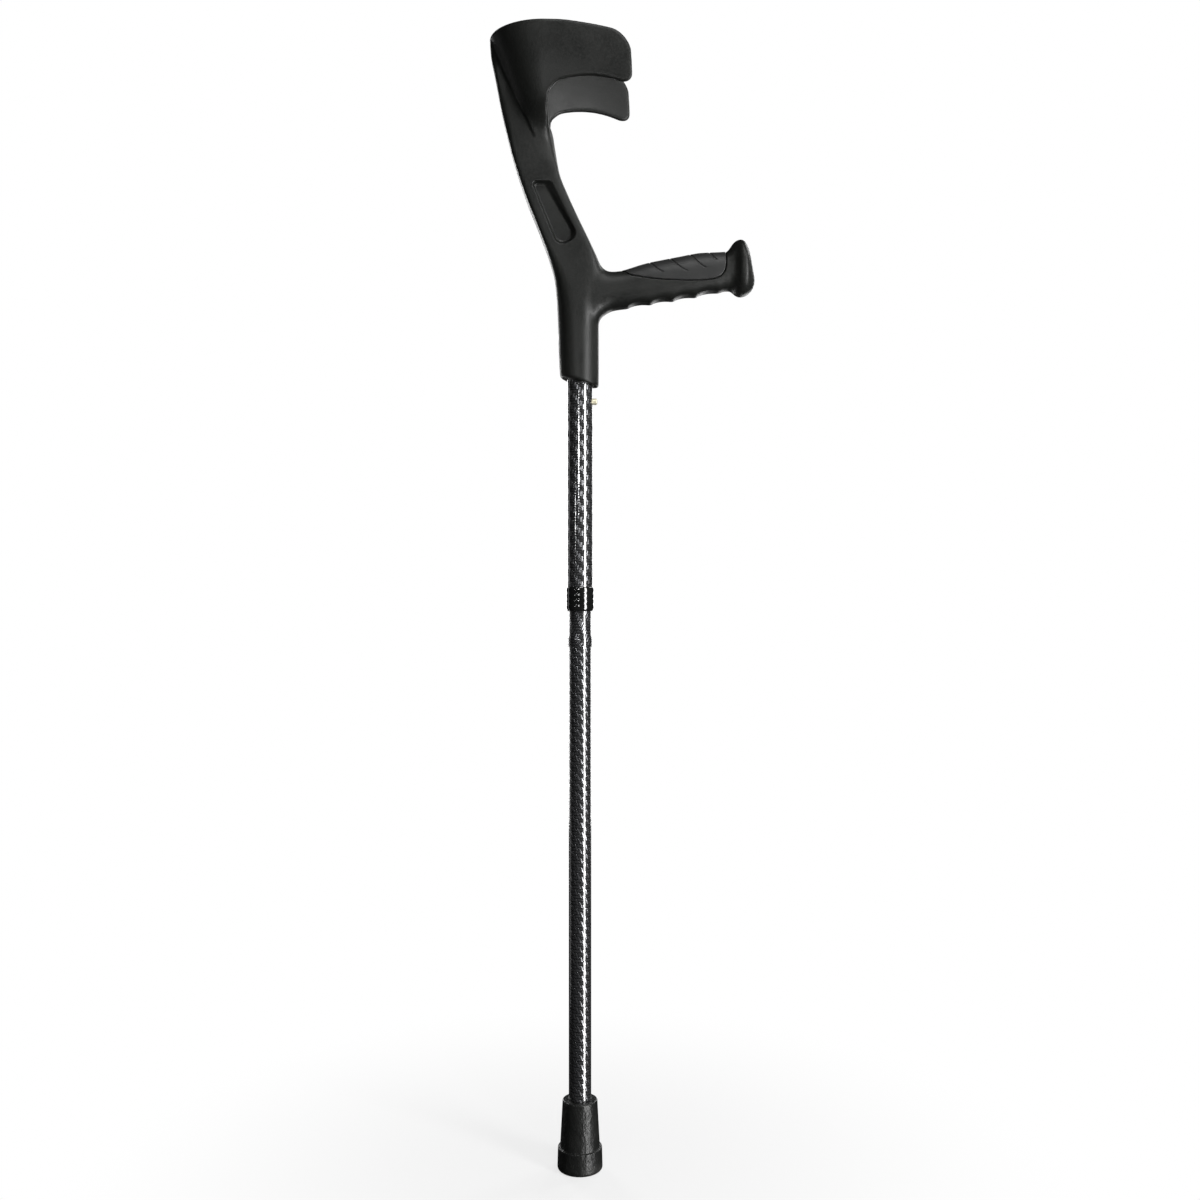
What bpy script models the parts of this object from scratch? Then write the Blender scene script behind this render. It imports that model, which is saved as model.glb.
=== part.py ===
"""Folding forearm crutch with a telescopic shaft: one named object per sub-part, in metres.

Z runs up the shaft, X forward towards the hand grip, and the XZ plane is the plane of symmetry.
The origin is the centre of the ferrule's base.
"""

import math

import bmesh
import bpy
from mathutils import Vector

MM = 0.001

# Clearances and walls
GAP = 0.3 * MM
TUBE_WALL = 1.0 * MM

# Shaft
UPPER_TUBE_R = 11.15 * MM
UPPER_TUBE_BOTTOM = 486.5 * MM
UPPER_TUBE_TOP = 770.0 * MM
MIDDLE_TUBE_R = 9.75 * MM
MIDDLE_TUBE_MOUTH = 453.7 * MM
MIDDLE_TUBE_TOP = 690.0 * MM
BELL_R = 10.65 * MM
LOWER_TUBE_R = 9.75 * MM
LOWER_TUBE_BOTTOM = 8.6 * MM
LOWER_TUBE_TOP = 460.9 * MM

# Height adjustment
HOLE_COUNT = 7
HOLE_PITCH = 25.0 * MM
TOP_HOLE_Z = 666.7 * MM
HOLE_R = 3.2 * MM
BUTTON_R = 2.75 * MM
BUTTON_TIP = 15.05 * MM
BUTTON_FLANGE_R = 3.8 * MM
BUTTON_FLANGE = (6.7 * MM, 7.5 * MM)
LEAF_THICKNESS = 0.8 * MM
LEAF_WIDTH = 7.0 * MM
LEAF_FRONT_TOP = 673.0 * MM
LEAF_REAR_TOP = 679.0 * MM
LEAF_BEND_Z = 641.0 * MM

# Folding joint and elastic cord
SPIGOT_TOP = 500.0 * MM
SPIGOT_BOTTOM = 405.0 * MM
SPIGOT_BORE_R = 5.0 * MM
CORD_R = 2.0 * MM
CORD_TOP = 620.3 * MM
CORD_BOTTOM = 7.3 * MM
CORD_HOLE_R = CORD_R + GAP
CLIP_R = 4.0 * MM
CLIP_LENGTH = 6.0 * MM
UPPER_PLUG = (600.0 * MM, 612.0 * MM)
END_PLUG_TOP = 22.0 * MM
END_PLUG_FLANGE = (6.9 * MM, 8.3 * MM)
END_PLUG_POCKET_TOP = 14.3 * MM

# Collar at the foot of the upper tube
COLLAR_TOP = 505.5 * MM
COLLAR_BOTTOM = 484.6 * MM
COLLAR_R = 12.35 * MM
COLLAR_RIBS = 4
COLLAR_RIB_DEPTH = 0.4 * MM

# Ferrule
FERRULE_TOP = 60.3 * MM
FERRULE_SHOULDER_Z = 59.2 * MM
FERRULE_TOP_R = 15.1 * MM
FERRULE_CONE_R = 17.3 * MM
FERRULE_FOOT_R = 19.7 * MM
FERRULE_FOOT_TOP_R = 19.2 * MM
FERRULE_FOOT_Z = 19.5 * MM
FERRULE_FLOOR = 5.0 * MM
TREAD_RINGS = (8.0 * MM, 13.0 * MM)
WASHER = (5.3 * MM, 6.5 * MM)

# Handle moulding: socket, neck and spine, as (height, value) in millimetres
SPINE_BACK = (
    (683, -17.5), (712, -18.6), (748, -19.8), (769, -21.6), (790, -26.8), (811, -34.4),
    (842, -46.7), (876, -57.8), (911, -66.6), (949, -74.1), (964, -77.0), (976, -78.0),
)
SPINE_FRONT = (
    (683, 16.4), (735, 16.5), (756, 18.4), (772, 21.9), (784, 17.8), (800, 10.3),
    (842, -9.6), (862, -17.5), (883, -21.3), (902, -25.0), (909, -34.0), (917, -44.0),
    (926, -52.5), (940, -61.0), (976, -74.0),
)
SPINE_HALF_WIDTH = (
    (683, 16.8), (735, 16.6), (775, 15.6), (811, 15.0), (880, 15.0), (930, 13.0), (976, 9.0),
)
SPINE_SQUARENESS = (
    (683, 2.0), (740, 2.1), (765, 2.7), (785, 4.6), (805, 8.0), (876, 8.0), (900, 5.0), (976, 3.0),
)
SOCKET_CUT_Z = 682.7
SOCKET_CUT_SLOPE = 0.265
SOCKET_LEVEL_Z = 712.0
SOCKET_BORE_TOP = 772.0 * MM

# Hand grip, as (distance forward, value) in millimetres
GRIP_TOP = (
    (4, 797), (10, 793.5), (15, 788.6), (19, 783.6), (23, 780), (28, 779.1), (36.5, 779.8),
    (43.5, 781.7), (52.2, 784.5), (61, 786.8), (71, 788.8), (87, 791.9), (96, 793.7),
    (104.5, 795.0), (122, 795.8), (127, 796.2), (129.6, 799.0), (132.3, 803.0), (135.7, 806.0),
    (139.2, 806.8), (141.8, 805.7), (143.8, 803.0), (146.2, 797.8), (148, 790), (149.7, 782),
    (151.2, 775.8), (151.9, 772.6),
)
GRIP_BOTTOM = (
    (4, 722), (11, 727), (15, 732.8), (18, 739.0), (22, 742.5), (28, 745.8), (34.8, 747.1),
    (41.8, 747.9), (61.5, 750.9), (80.8, 753.8), (100.6, 757.2), (120.3, 761.3), (126.2, 763.0),
    (129.7, 763.2), (132.3, 762.0), (135, 759.6), (139.2, 758.2), (144, 759.0), (147, 760.8),
    (149.6, 763.6), (151.2, 767.4), (151.9, 770.6),
)
GRIP_HALF_WIDTH = (
    (4, 14.0), (18, 14.6), (40, 14.8), (75, 15.6), (110, 15.2), (129, 15.0), (133, 15.7),
    (136, 17.9), (138.8, 20.6), (141.2, 21.5), (143.8, 20.9), (146.6, 17.6), (149.2, 11.4),
    (151.2, 5.0), (151.9, 1.8),
)
GRIP_SQUARENESS = 2.35
FINGER_COUNT = 4
FINGER_PITCH = 19.6
FINGER_DEPTH = 2.35
FINGER_FIRST = 41.9
FINGER_LEAN = 0.8

# Soft pad let into the top of the grip: its lower border, as (forward, height) in millimetres
PAD_BORDER = (
    (36.0, 780.2), (43.2, 774.7), (51.8, 772.6), (60.3, 771.1), (77.5, 769.6), (92, 769.2),
    (105, 769.6), (113, 770.4), (118, 771.6), (121.8, 773.8), (124.0, 776.8), (125.2, 781),
    (125.7, 787), (125.8, 830),
)
PAD_THICKNESS = 3.0
PAD_SEAM = 0.7
VEIN_DEPTH = 0.7
VEIN_WIDTH = 0.9
VEINS = ((59.5, 72.5, 776.0), (77.0, 93.9, 776.6), (94.5, 109.5, 779.5), (111.5, 118.3, 787.0))

# Recess in each side of the neck: its corners as (forward, height) at the flank and on the floor
RECESS_MOUTH = ((-41.6, 854.3), (-23.8, 854.0), (-0.6, 806.6), (-18.8, 796.6))
RECESS_BED = ((-40.8, 853.4), (-30.8, 853.6), (-4.4, 807.6), (-17.8, 798.2))
RECESS_CORNERS = (3.0, 3.6, 8.0, 8.0)
RECESS_FLOOR = 10.0
RECESS_DEPTH = 5.0

# Forearm cuff
CUFF_CENTRE = ((884, -27.0), (892, -24.8), (899, -24.0), (908, -24.8), (918, -26.6), (930, -28.0))
CUFF_TIP_X = 44.3
CUFF_WALL = 4.4
CUFF_BACK_TOP = (980.0, -78.8)
CUFF_BACK_LEAN = 0.38
CUFF_HALF_WIDTH = (
    (880, 8.0), (888, 12.0), (894, 17.0), (906, 25.5), (918, 32.5), (930, 36.4), (945, 39.8),
    (960, 42.1), (975, 43.4), (988, 44.0),
)
CUFF_TIP_HALF_WIDTH = 46.0
CUFF_FLARE = 1.15
CUFF_TIP_TOP_R = 16.0
CUFF_TIP_LOW_R = 12.0
CUFF_TIP_LEAN = 0.05
CUFF_TIP_Z = 940.0
CUFF_CROTCH_R = 13.0
CUFF_RIM = (
    (-79, 979.6), (-62, 979.4), (-44, 979.4), (-18, 978.8), (7, 975.4), (27, 971.1), (44.3, 965.3),
)
CUFF_LOW_PEAK = (3.0, 935.4)
CUFF_LOW_BOW = 0.0066
CUFF_ROOT_Z = 884.0
SCOOP_FLOOR = ((890, -27.0), (900, -25.8), (907, -28.4), (916, -37.0), (926, -48.0), (938, -58.5))
SCOOP_HOLLOW = 6.0

# Retaining screw at the back of the socket
SCREW_Z = 722.0 * MM
SCREW_HEAD_R = 3.2 * MM
SCREW_SHANK_R = 1.6 * MM
SCREW_HEAD = (-17.9 * MM, -15.9 * MM)
SCREW_TIP = -8.7 * MM

# Mesh fineness
SEGMENTS = 40
INNER_SEGMENTS = 24
SPINE_POINTS = 24
GRIP_POINTS = 20

CROSS_CORNERS = ((-1, -1), (1, -1), (1, 1), (-1, 1))


def clear_scene():
    for thing in list(bpy.data.objects):
        bpy.data.objects.remove(thing, do_unlink=True)


def smooth_value(knots, at):
    """A smooth curve through the (position, value) knots, without overshoot, read at one position."""
    count = len(knots)
    if at <= knots[0][0]:
        return knots[0][1]
    if at >= knots[-1][0]:
        return knots[-1][1]
    runs = [knots[i + 1][0] - knots[i][0] for i in range(count - 1)]
    rises = [(knots[i + 1][1] - knots[i][1]) / runs[i] for i in range(count - 1)]
    slopes = [rises[0]]
    for i in range(1, count - 1):
        if rises[i - 1] * rises[i] <= 0:
            slopes.append(0.0)
        else:
            w1 = 2 * runs[i] + runs[i - 1]
            w2 = runs[i] + 2 * runs[i - 1]
            slopes.append((w1 + w2) / (w1 / rises[i - 1] + w2 / rises[i]))
    slopes.append(rises[-1])
    i = max(k for k in range(count - 1) if knots[k][0] <= at)
    t = (at - knots[i][0]) / runs[i]
    start = (1 + 2 * t) * (1 - t) ** 2 * knots[i][1] + t * (1 - t) ** 2 * runs[i] * slopes[i]
    end = t * t * (3 - 2 * t) * knots[i + 1][1] + t * t * (t - 1) * runs[i] * slopes[i + 1]
    return start + end


def spread(low, high, count):
    """Evenly spaced values from low to high."""
    return [low + (high - low) * i / (count - 1) for i in range(count)]


def plain_material(name, colour, roughness, metallic):
    material = bpy.data.materials.new(name)
    material.use_nodes = True
    shader = material.node_tree.nodes["Principled BSDF"]
    shader.inputs["Base Color"].default_value = (*colour, 1.0)
    shader.inputs["Roughness"].default_value = roughness
    shader.inputs["Metallic"].default_value = metallic
    material.diffuse_color = (*colour, 1.0)
    return material


def mesh_object(name, points, faces):
    """An object from points in metres, its normals facing out."""
    work = bmesh.new()
    made = [work.verts.new(p) for p in points]
    for face in faces:
        work.faces.new([made[i] for i in face])
    bmesh.ops.remove_doubles(work, verts=work.verts, dist=1e-7)
    bmesh.ops.recalc_face_normals(work, faces=work.faces)
    data = bpy.data.meshes.new(name)
    work.to_mesh(data)
    work.free()
    thing = bpy.data.objects.new(name, data)
    bpy.context.scene.collection.objects.link(thing)
    return thing


def loft(name, rings):
    """A closed body through rings of equal size, capped at both ends."""
    size = len(rings[0])
    points = [p for ring in rings for p in ring]
    faces = [tuple(reversed(range(size)))]
    for k in range(len(rings) - 1):
        for i in range(size):
            j = (i + 1) % size
            faces.append((k * size + i, k * size + j, (k + 1) * size + j, (k + 1) * size + i))
    last = (len(rings) - 1) * size
    faces.append(tuple(range(last, last + size)))
    return mesh_object(name, points, faces)


def lathe(name, profile, centre=(0.0, 0.0, 0.0), along="Z", segments=SEGMENTS):
    """A body turned from a closed profile of (radius, distance along the axis) points."""
    points = []
    for r, d in profile:
        for s in range(segments):
            turn = 2 * math.pi * s / segments
            across = (r * math.cos(turn), r * math.sin(turn))
            local = (*across, d) if along == "Z" else (d, *across)
            points.append(tuple(c + v for c, v in zip(centre, local)))
    faces = []
    for k in range(len(profile)):
        nxt = (k + 1) % len(profile)
        if profile[k][0] == 0 and profile[nxt][0] == 0:
            continue
        for s in range(segments):
            t = (s + 1) % segments
            corners = [k * segments + s, k * segments + t, nxt * segments + t, nxt * segments + s]
            if profile[k][0] == 0:
                corners = [k * segments, nxt * segments + t, nxt * segments + s]
            elif profile[nxt][0] == 0:
                corners = [k * segments + s, k * segments + t, nxt * segments]
            faces.append(tuple(corners))
    used = sorted({i for face in faces for i in face})
    place = {old: new for new, old in enumerate(used)}
    return mesh_object(name, [points[i] for i in used], [tuple(place[i] for i in f) for f in faces])


def prism(name, outline, low_y, high_y):
    """A closed outline of (x, z) points in metres, carried from low_y to high_y."""
    near = [(x, low_y, z) for x, z in outline]
    far = [(x, high_y, z) for x, z in outline]
    return loft(name, [near, far])


def tube(name, radius, bore, low, high, segments=SEGMENTS):
    return lathe(name, [(radius, low), (radius, high), (bore, high), (bore, low)], segments=segments)


def rod(name, radius, low, high, centre=(0.0, 0.0, 0.0), along="Z", segments=SEGMENTS):
    return lathe(name, [(0, low), (radius, low), (radius, high), (0, high)], centre, along, segments)


def combine(thing, other, operation):
    """Applies an exact Boolean at once and removes the other body."""
    step = thing.modifiers.new(operation.lower(), "BOOLEAN")
    step.operation = operation
    step.solver = "EXACT"
    step.object = other
    bpy.context.view_layer.update()
    graph = bpy.context.evaluated_depsgraph_get()
    made = bpy.data.meshes.new_from_object(thing.evaluated_get(graph))
    thing.modifiers.clear()
    old = thing.data
    thing.data = made
    made.name = thing.name
    bpy.data.meshes.remove(old)
    bpy.data.objects.remove(other, do_unlink=True)
    return thing


def finish(thing, material, origin, crease_degrees=35.0):
    """Gives a sub-part its material and origin, and smooth shading with its real edges kept sharp."""
    for point in thing.data.vertices:
        point.co -= Vector(origin)
    thing.location = origin
    thing.data.materials.clear()
    thing.data.materials.append(material)
    for face in thing.data.polygons:
        face.use_smooth = True
        face.material_index = 0
    thing.data.set_sharp_from_angle(angle=math.radians(crease_degrees))
    return thing


def squared_ring(centre, half_a, half_b, squareness, count):
    """Points of a superellipse about a centre, in its own two directions."""
    ring = []
    for k in range(count):
        turn = 2 * math.pi * (k + 0.5) / count
        c = math.cos(turn)
        s = math.sin(turn)
        a = math.copysign(abs(c) ** (2 / squareness), c)
        b = math.copysign(abs(s) ** (2 / squareness), s)
        ring.append((centre + half_a * a, half_b * b))
    return ring


def spine_rings():
    """Level sections of the socket, neck and spine, the lowest few tilted to the socket's slanted end."""
    rings = []
    lip = ((2.4, 0.0), (0.7, 0.7), (0.0, 2.4))
    for inset, rise in lip:
        ring = []
        for x, y in squared_ring(-0.6, 16.95 - inset, 16.8 - inset, 2.0, SPINE_POINTS):
            ring.append((x * MM, y * MM, (SOCKET_CUT_Z + rise - SOCKET_CUT_SLOPE * x) * MM))
        rings.append(ring)
    heights = [700.0, SOCKET_LEVEL_Z, 740.0] + spread(758.0, 806.0, 6)
    heights += spread(820.0, 896.0, 6) + spread(906.0, 976.0, 6)
    for z in heights:
        back = smooth_value(SPINE_BACK, z)
        front = smooth_value(SPINE_FRONT, z)
        half = smooth_value(SPINE_HALF_WIDTH, z)
        square = smooth_value(SPINE_SQUARENESS, z)
        tilt = SOCKET_CUT_SLOPE * 0.5 if z < SOCKET_LEVEL_Z else 0.0
        ring = []
        for x, y in squared_ring((back + front) / 2, (front - back) / 2, half, square, SPINE_POINTS):
            ring.append((x * MM, y * MM, (z - tilt * x) * MM))
        rings.append(ring)
    return rings


def finger_groove(x):
    """How deep the finger grooves cut the underside here: four hollows that meet in ridges."""
    turn = (x - FINGER_FIRST) / FINGER_PITCH
    if not 0 < turn < FINGER_COUNT:
        return 0.0
    return FINGER_DEPTH * math.sin(math.pi * (turn % 1) ** FINGER_LEAN)


def grip_rings(inset=0.0):
    """Upright sections of the hand grip, pulled in all round by an inset."""
    places = [4, 10, 14, 17, 20, 23.5, 28, 34]
    for k in range(FINGER_COUNT):
        places += [FINGER_FIRST + (k + share) * FINGER_PITCH for share in (0.0, 0.2, 0.45, 0.75)]
    places.append(FINGER_FIRST + FINGER_COUNT * FINGER_PITCH)
    places += [126, 129, 132.5, 135, 137, 139.2, 141.5, 144.2, 146.8, 149, 150.8, 151.9]
    rings = []
    for x in places:
        if inset and x > 135:
            break
        top = smooth_value(GRIP_TOP, x) - inset
        bottom = smooth_value(GRIP_BOTTOM, x) + inset
        half = smooth_value(GRIP_HALF_WIDTH, x) - inset
        rise = (top - bottom) / 2
        ring = []
        for y, z in squared_ring(0.0, half, rise, GRIP_SQUARENESS, GRIP_POINTS):
            groove = finger_groove(x) * max(0.0, -z / rise) ** 6
            ring.append((x * MM, y * MM, ((top + bottom) / 2 + z + groove) * MM))
        rings.append(ring)
    return rings


def cuff_top(x):
    """Height of the cuff's upper rim."""
    rim = smooth_value(CUFF_RIM, x)
    over = x - (CUFF_TIP_X - CUFF_TIP_TOP_R)
    if over > 0:
        rim -= CUFF_TIP_TOP_R - math.sqrt(max(0.0, CUFF_TIP_TOP_R**2 - over**2))
    return rim


def cuff_low(x):
    """Height of the arms' lower edge, down to the crotch where they leave the neck."""
    edge = CUFF_LOW_PEAK[1] - CUFF_LOW_BOW * (x - CUFF_LOW_PEAK[0]) ** 2
    over = x - (CUFF_TIP_X - CUFF_TIP_LOW_R)
    if over > 0:
        edge += CUFF_TIP_LOW_R - math.sqrt(max(0.0, CUFF_TIP_LOW_R**2 - over**2))
    under = CUFF_CENTRE[-1][1] + CUFF_CROTCH_R - 0.5 - x
    if under > 0:
        edge -= CUFF_CROTCH_R - math.sqrt(max(0.0, CUFF_CROTCH_R**2 - under**2))
    return edge


def cuff_centre(z):
    """Where the C of the cuff is widest at this height, which is also the front edge of its funnel."""
    return smooth_value(CUFF_CENTRE, z)


def cuff_back(z):
    """The shell's rearmost point at this height."""
    return CUFF_BACK_TOP[1] + CUFF_BACK_LEAN * (CUFF_BACK_TOP[0] - z)


def cuff_point(u, z, inset):
    """A point of the shell: u runs 0 at the back, 1 where the arm starts, 2 at its tip."""
    half = smooth_value(CUFF_HALF_WIDTH, z) - inset
    centre = cuff_centre(z)
    if u <= 1:
        depth = centre - cuff_back(z) - inset
        turn = u * math.pi / 2
        return (centre - depth * math.cos(turn), half * math.sin(turn), z)
    along = u - 1
    tip = CUFF_TIP_X - CUFF_TIP_LEAN * (z - CUFF_TIP_Z)
    flare = (CUFF_TIP_HALF_WIDTH - inset - half) * along**CUFF_FLARE
    return (centre + along * (tip - centre), half + flare, z)


def cuff_shell():
    """The open C of the cuff, as one wall of even thickness with a rounded rim and rounded tips."""
    steps = [0, 0.15, 0.3, 0.45, 0.6, 0.75, 0.86, 0.92, 0.95, 0.975]
    steps += [1.0, 1.03, 1.07, 1.12, 1.2, 1.4, 1.62, 1.8, 1.88, 1.94, 1.98, 2.0]
    columns = [(-1, u) for u in reversed(steps[1:])] + [(1, u) for u in steps]
    heights = spread(0.0, 1.0, 7)
    rim = ((0.16, 1.0), (0.5, 1.5), (0.84, 1.0))
    path = [(v, 0.0, 0.0) for v in heights]
    path += [(1.0, share, grow) for share, grow in rim]
    path += [(v, 1.0, 0.0) for v in reversed(heights)]
    path += [(0.0, 1.0 - share, -grow) for share, grow in rim]
    strips = []
    for side, u in columns:
        x = cuff_point(u, CUFF_TIP_Z, 0.0)[0]
        low = cuff_low(x)
        if u < 1:
            low = CUFF_ROOT_Z + (cuff_low(CUFF_CENTRE[-1][1]) - CUFF_ROOT_Z) * max(0.0, (u - 0.92) / 0.08)
        high = cuff_top(x)
        steep = 0.25 if 0.92 < u < 1.05 else 1.0
        pinch = 0.3 * CUFF_WALL if u == 2.0 else 0.0
        strip = []
        for v, share, grow in path:
            inset = pinch + share * (CUFF_WALL - 2 * pinch)
            px, py, pz = cuff_point(u, low + v * (high - low), inset)
            grow = grow * steep if v == 0.0 else grow
            strip.append((px * MM, side * py * MM, (pz + grow) * MM))
        strips.append(strip)
    return loft("cuff", strips)


def scoop_fill():
    """The wedge that closes the foot of the cuff's funnel and forms its sloping, hollowed floor."""
    rings = []
    for z in spread(890.0, 938.0, 8):
        centre = cuff_centre(z)
        depth = centre - cuff_back(z) - CUFF_WALL / 2
        half = smooth_value(CUFF_HALF_WIDTH, z) - CUFF_WALL / 2
        floor = smooth_value(SCOOP_FLOOR, z)
        edge = min(floor + SCOOP_HOLLOW, centre - 0.1)
        widest = math.acos((centre - edge) / depth)
        ring = [(centre - depth * math.cos(t), half * math.sin(t)) for t in spread(-widest, widest, 15)]
        end = ring[-1][1]
        for share in spread(0.8, -0.8, 7):
            ring.append((floor + (edge - floor) * share**2, share * end))
        rings.append([(x * MM, y * MM, z * MM) for x, y in ring])
    return loft("scoop", rings)


def rounded_outline(corners, radii, steps=5):
    """A convex outline, corners in order, with each corner replaced by an arc of its own radius."""
    points = []
    count = len(corners)
    for k in range(count):
        radius = radii[k]
        here = Vector(corners[k])
        before = (Vector(corners[k - 1]) - here).normalized()
        after = (Vector(corners[(k + 1) % count]) - here).normalized()
        half_angle = before.angle(after) / 2
        reach = radius / math.tan(half_angle)
        centre = here + (before + after).normalized() * radius / math.sin(half_angle)
        start = here + before * reach - centre
        stop = here + after * reach - centre
        for t in spread(0.0, 1.0, steps):
            mixed = (start * (1 - t) + stop * t).normalized() * radius
            points.append(centre + mixed)
    return points


def shifted(line, distance):
    """An open line moved sideways, to its right as it runs."""
    points = []
    for k in range(len(line)):
        before = Vector(line[max(k - 1, 0)])
        after = Vector(line[min(k + 1, len(line) - 1)])
        run = (after - before).normalized()
        points.append((line[k][0] + run.y * distance, line[k][1] - run.x * distance))
    return points


def smooth_border(line, count):
    """The pad's border drawn as a smooth line: a curve over distance for its long low part, then its end."""
    places = [0.0]
    for k in range(1, len(line)):
        places.append(places[-1] + math.dist(line[k - 1], line[k]))
    over_x = [(d, p[0]) for d, p in zip(places, line)]
    over_z = [(d, p[1]) for d, p in zip(places, line)]
    stops = spread(0.0, places[-2], count) + [places[-1]]
    return [(smooth_value(over_x, d), smooth_value(over_z, d)) for d in stops]


def pad_prism(name, grown):
    """The space above the pad's border, right through the grip."""
    line = shifted(smooth_border(PAD_BORDER, 15), grown)
    outline = line + [(line[0][0], line[-1][1])]
    return prism(name, [(x * MM, z * MM) for x, z in outline], -40 * MM, 40 * MM)


def vein_grooves():
    """Slanted leaf veins, right across the pad: each starts at the top and dies out on the flank."""
    points = []
    faces = []
    for start, stop, low in VEINS:
        crest = smooth_value(GRIP_TOP, start) + 1.2
        upper = []
        lower = []
        for t in spread(0.0, 1.0, 6):
            x = start + (stop - start) * t
            bend = 0.35 * t + 0.65 * t * t * (3 - 2 * t)
            z = crest + (low - crest) * bend
            wide = VEIN_WIDTH * (0.5 + 0.12 * (1 - t))
            upper.append((x + wide * 0.5, z + wide * 0.86))
            lower.append((x - wide * 0.5, z - wide * 0.86))
        outline = lower + upper[::-1]
        size = len(outline)
        first = len(points)
        points += [(x * MM, -40 * MM, z * MM) for x, z in outline]
        points += [(x * MM, 40 * MM, z * MM) for x, z in outline]
        faces.append(tuple(first + k for k in range(size)))
        faces.append(tuple(first + size + k for k in reversed(range(size))))
        for k in range(size):
            j = (k + 1) % size
            faces.append((first + k, first + size + k, first + size + j, first + j))
    return mesh_object("veins", points, faces)


def neck_recess(side):
    """The slot let into one side of the neck, its forward wall sloped and the others drafted."""
    bed = rounded_outline(RECESS_BED, RECESS_CORNERS)
    mouth = rounded_outline(RECESS_MOUTH, RECESS_CORNERS)
    middle = sum(bed, Vector((0, 0))) / len(bed)
    rings = []
    for share, shrink in ((0.0, 0.94), (0.15, 1.0), (1.0, 1.0), (2.0, 1.0)):
        ring = []
        for low, high in zip(bed, mouth):
            x, z = middle + (low.lerp(high, share) - middle) * shrink
            ring.append((x * MM, side * (RECESS_FLOOR + share * RECESS_DEPTH) * MM, z * MM))
        rings.append(ring)
    return loft("recess", rings)


def build_handle():
    body = loft("handle_body", spine_rings())
    combine(body, loft("grip", grip_rings()), "UNION")
    combine(body, scoop_fill(), "UNION")
    combine(body, cuff_shell(), "UNION")
    for side in (-1, 1):
        combine(body, neck_recess(side), "DIFFERENCE")
    combine(body, rod("bore", UPPER_TUBE_R + GAP, 600 * MM, SOCKET_BORE_TOP), "DIFFERENCE")
    pocket = pad_prism("pocket", PAD_SEAM)
    combine(pocket, loft("pocket_core", grip_rings(PAD_THICKNESS + 0.3)), "DIFFERENCE")
    combine(body, pocket, "DIFFERENCE")
    hole_centre = (0.0, 0.0, SCREW_Z)
    counterbore = rod("seat", SCREW_HEAD_R + GAP, -30 * MM, SCREW_HEAD[1] + GAP, hole_centre, "X", 24)
    combine(body, counterbore, "DIFFERENCE")
    hole = rod("screw_hole", SCREW_SHANK_R + GAP, -20 * MM, -5 * MM, hole_centre, "X", 24)
    combine(body, hole, "DIFFERENCE")
    return body


def build_pad():
    pad = loft("grip_pad", grip_rings(-0.3))
    combine(pad, pad_prism("pad_area", 0.0), "INTERSECT")
    combine(pad, loft("pad_core", grip_rings(PAD_THICKNESS)), "DIFFERENCE")
    grooves = vein_grooves()
    combine(grooves, loft("groove_core", grip_rings(VEIN_DEPTH - 0.3)), "DIFFERENCE")
    combine(pad, grooves, "DIFFERENCE")
    return pad


def build_upper_tube():
    body = tube(
        "upper_tube", UPPER_TUBE_R, UPPER_TUBE_R - TUBE_WALL, UPPER_TUBE_BOTTOM, UPPER_TUBE_TOP
    )
    for k in range(HOLE_COUNT):
        centre = (0.0, 0.0, TOP_HOLE_Z - k * HOLE_PITCH)
        combine(body, rod("hole", HOLE_R, 5 * MM, 20 * MM, centre, "X", 24), "DIFFERENCE")
    back = rod("back_hole", SCREW_SHANK_R + GAP, -20 * MM, -5 * MM, (0.0, 0.0, SCREW_Z), "X", 16)
    combine(body, back, "DIFFERENCE")
    return body


def build_screw():
    head, seat = SCREW_HEAD
    dome = head - 0.5 * MM
    profile = [
        (0, dome), (SCREW_HEAD_R * 0.6, dome + 0.1 * MM), (SCREW_HEAD_R, head + 0.4 * MM),
        (SCREW_HEAD_R, seat), (SCREW_SHANK_R, seat), (SCREW_SHANK_R, SCREW_TIP - 1.2 * MM),
        (0.3 * MM, SCREW_TIP), (0, SCREW_TIP),
    ]
    body = lathe("tube_screw", profile, (0.0, 0.0, SCREW_Z), "X", 24)
    for half_y, half_z in ((0.35, 1.7), (1.7, 0.35)):
        ring = [(head - 3 * MM, y * half_y * MM, SCREW_Z + z * half_z * MM) for y, z in CROSS_CORNERS]
        deep = [(head + 0.9 * MM, y, z) for x, y, z in ring]
        combine(body, loft("cross", [ring, deep]), "DIFFERENCE")
    return body


def build_collar():
    low, high = COLLAR_BOTTOM, COLLAR_TOP
    profile = [(MIDDLE_TUBE_R + GAP, low), (COLLAR_R - 1.5 * MM, low)]
    rib = (high - low - 1.6 * MM) / COLLAR_RIBS
    for k in range(COLLAR_RIBS):
        foot = low + 1.2 * MM + k * rib
        for share, depth in ((0.04, 0.0), (0.3, 0.95), (0.7, 0.95), (0.96, 0.0)):
            radius = COLLAR_R - COLLAR_RIB_DEPTH * (1 - depth)
            profile.append((radius, foot + share * rib))
    profile += [
        (COLLAR_R - COLLAR_RIB_DEPTH - 0.3 * MM, high),
        (UPPER_TUBE_R + GAP, high),
        (UPPER_TUBE_R + GAP, UPPER_TUBE_BOTTOM - GAP),
        (MIDDLE_TUBE_R + GAP, UPPER_TUBE_BOTTOM - GAP),
    ]
    return lathe("anti_rattle_collar", profile, segments=32)


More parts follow.
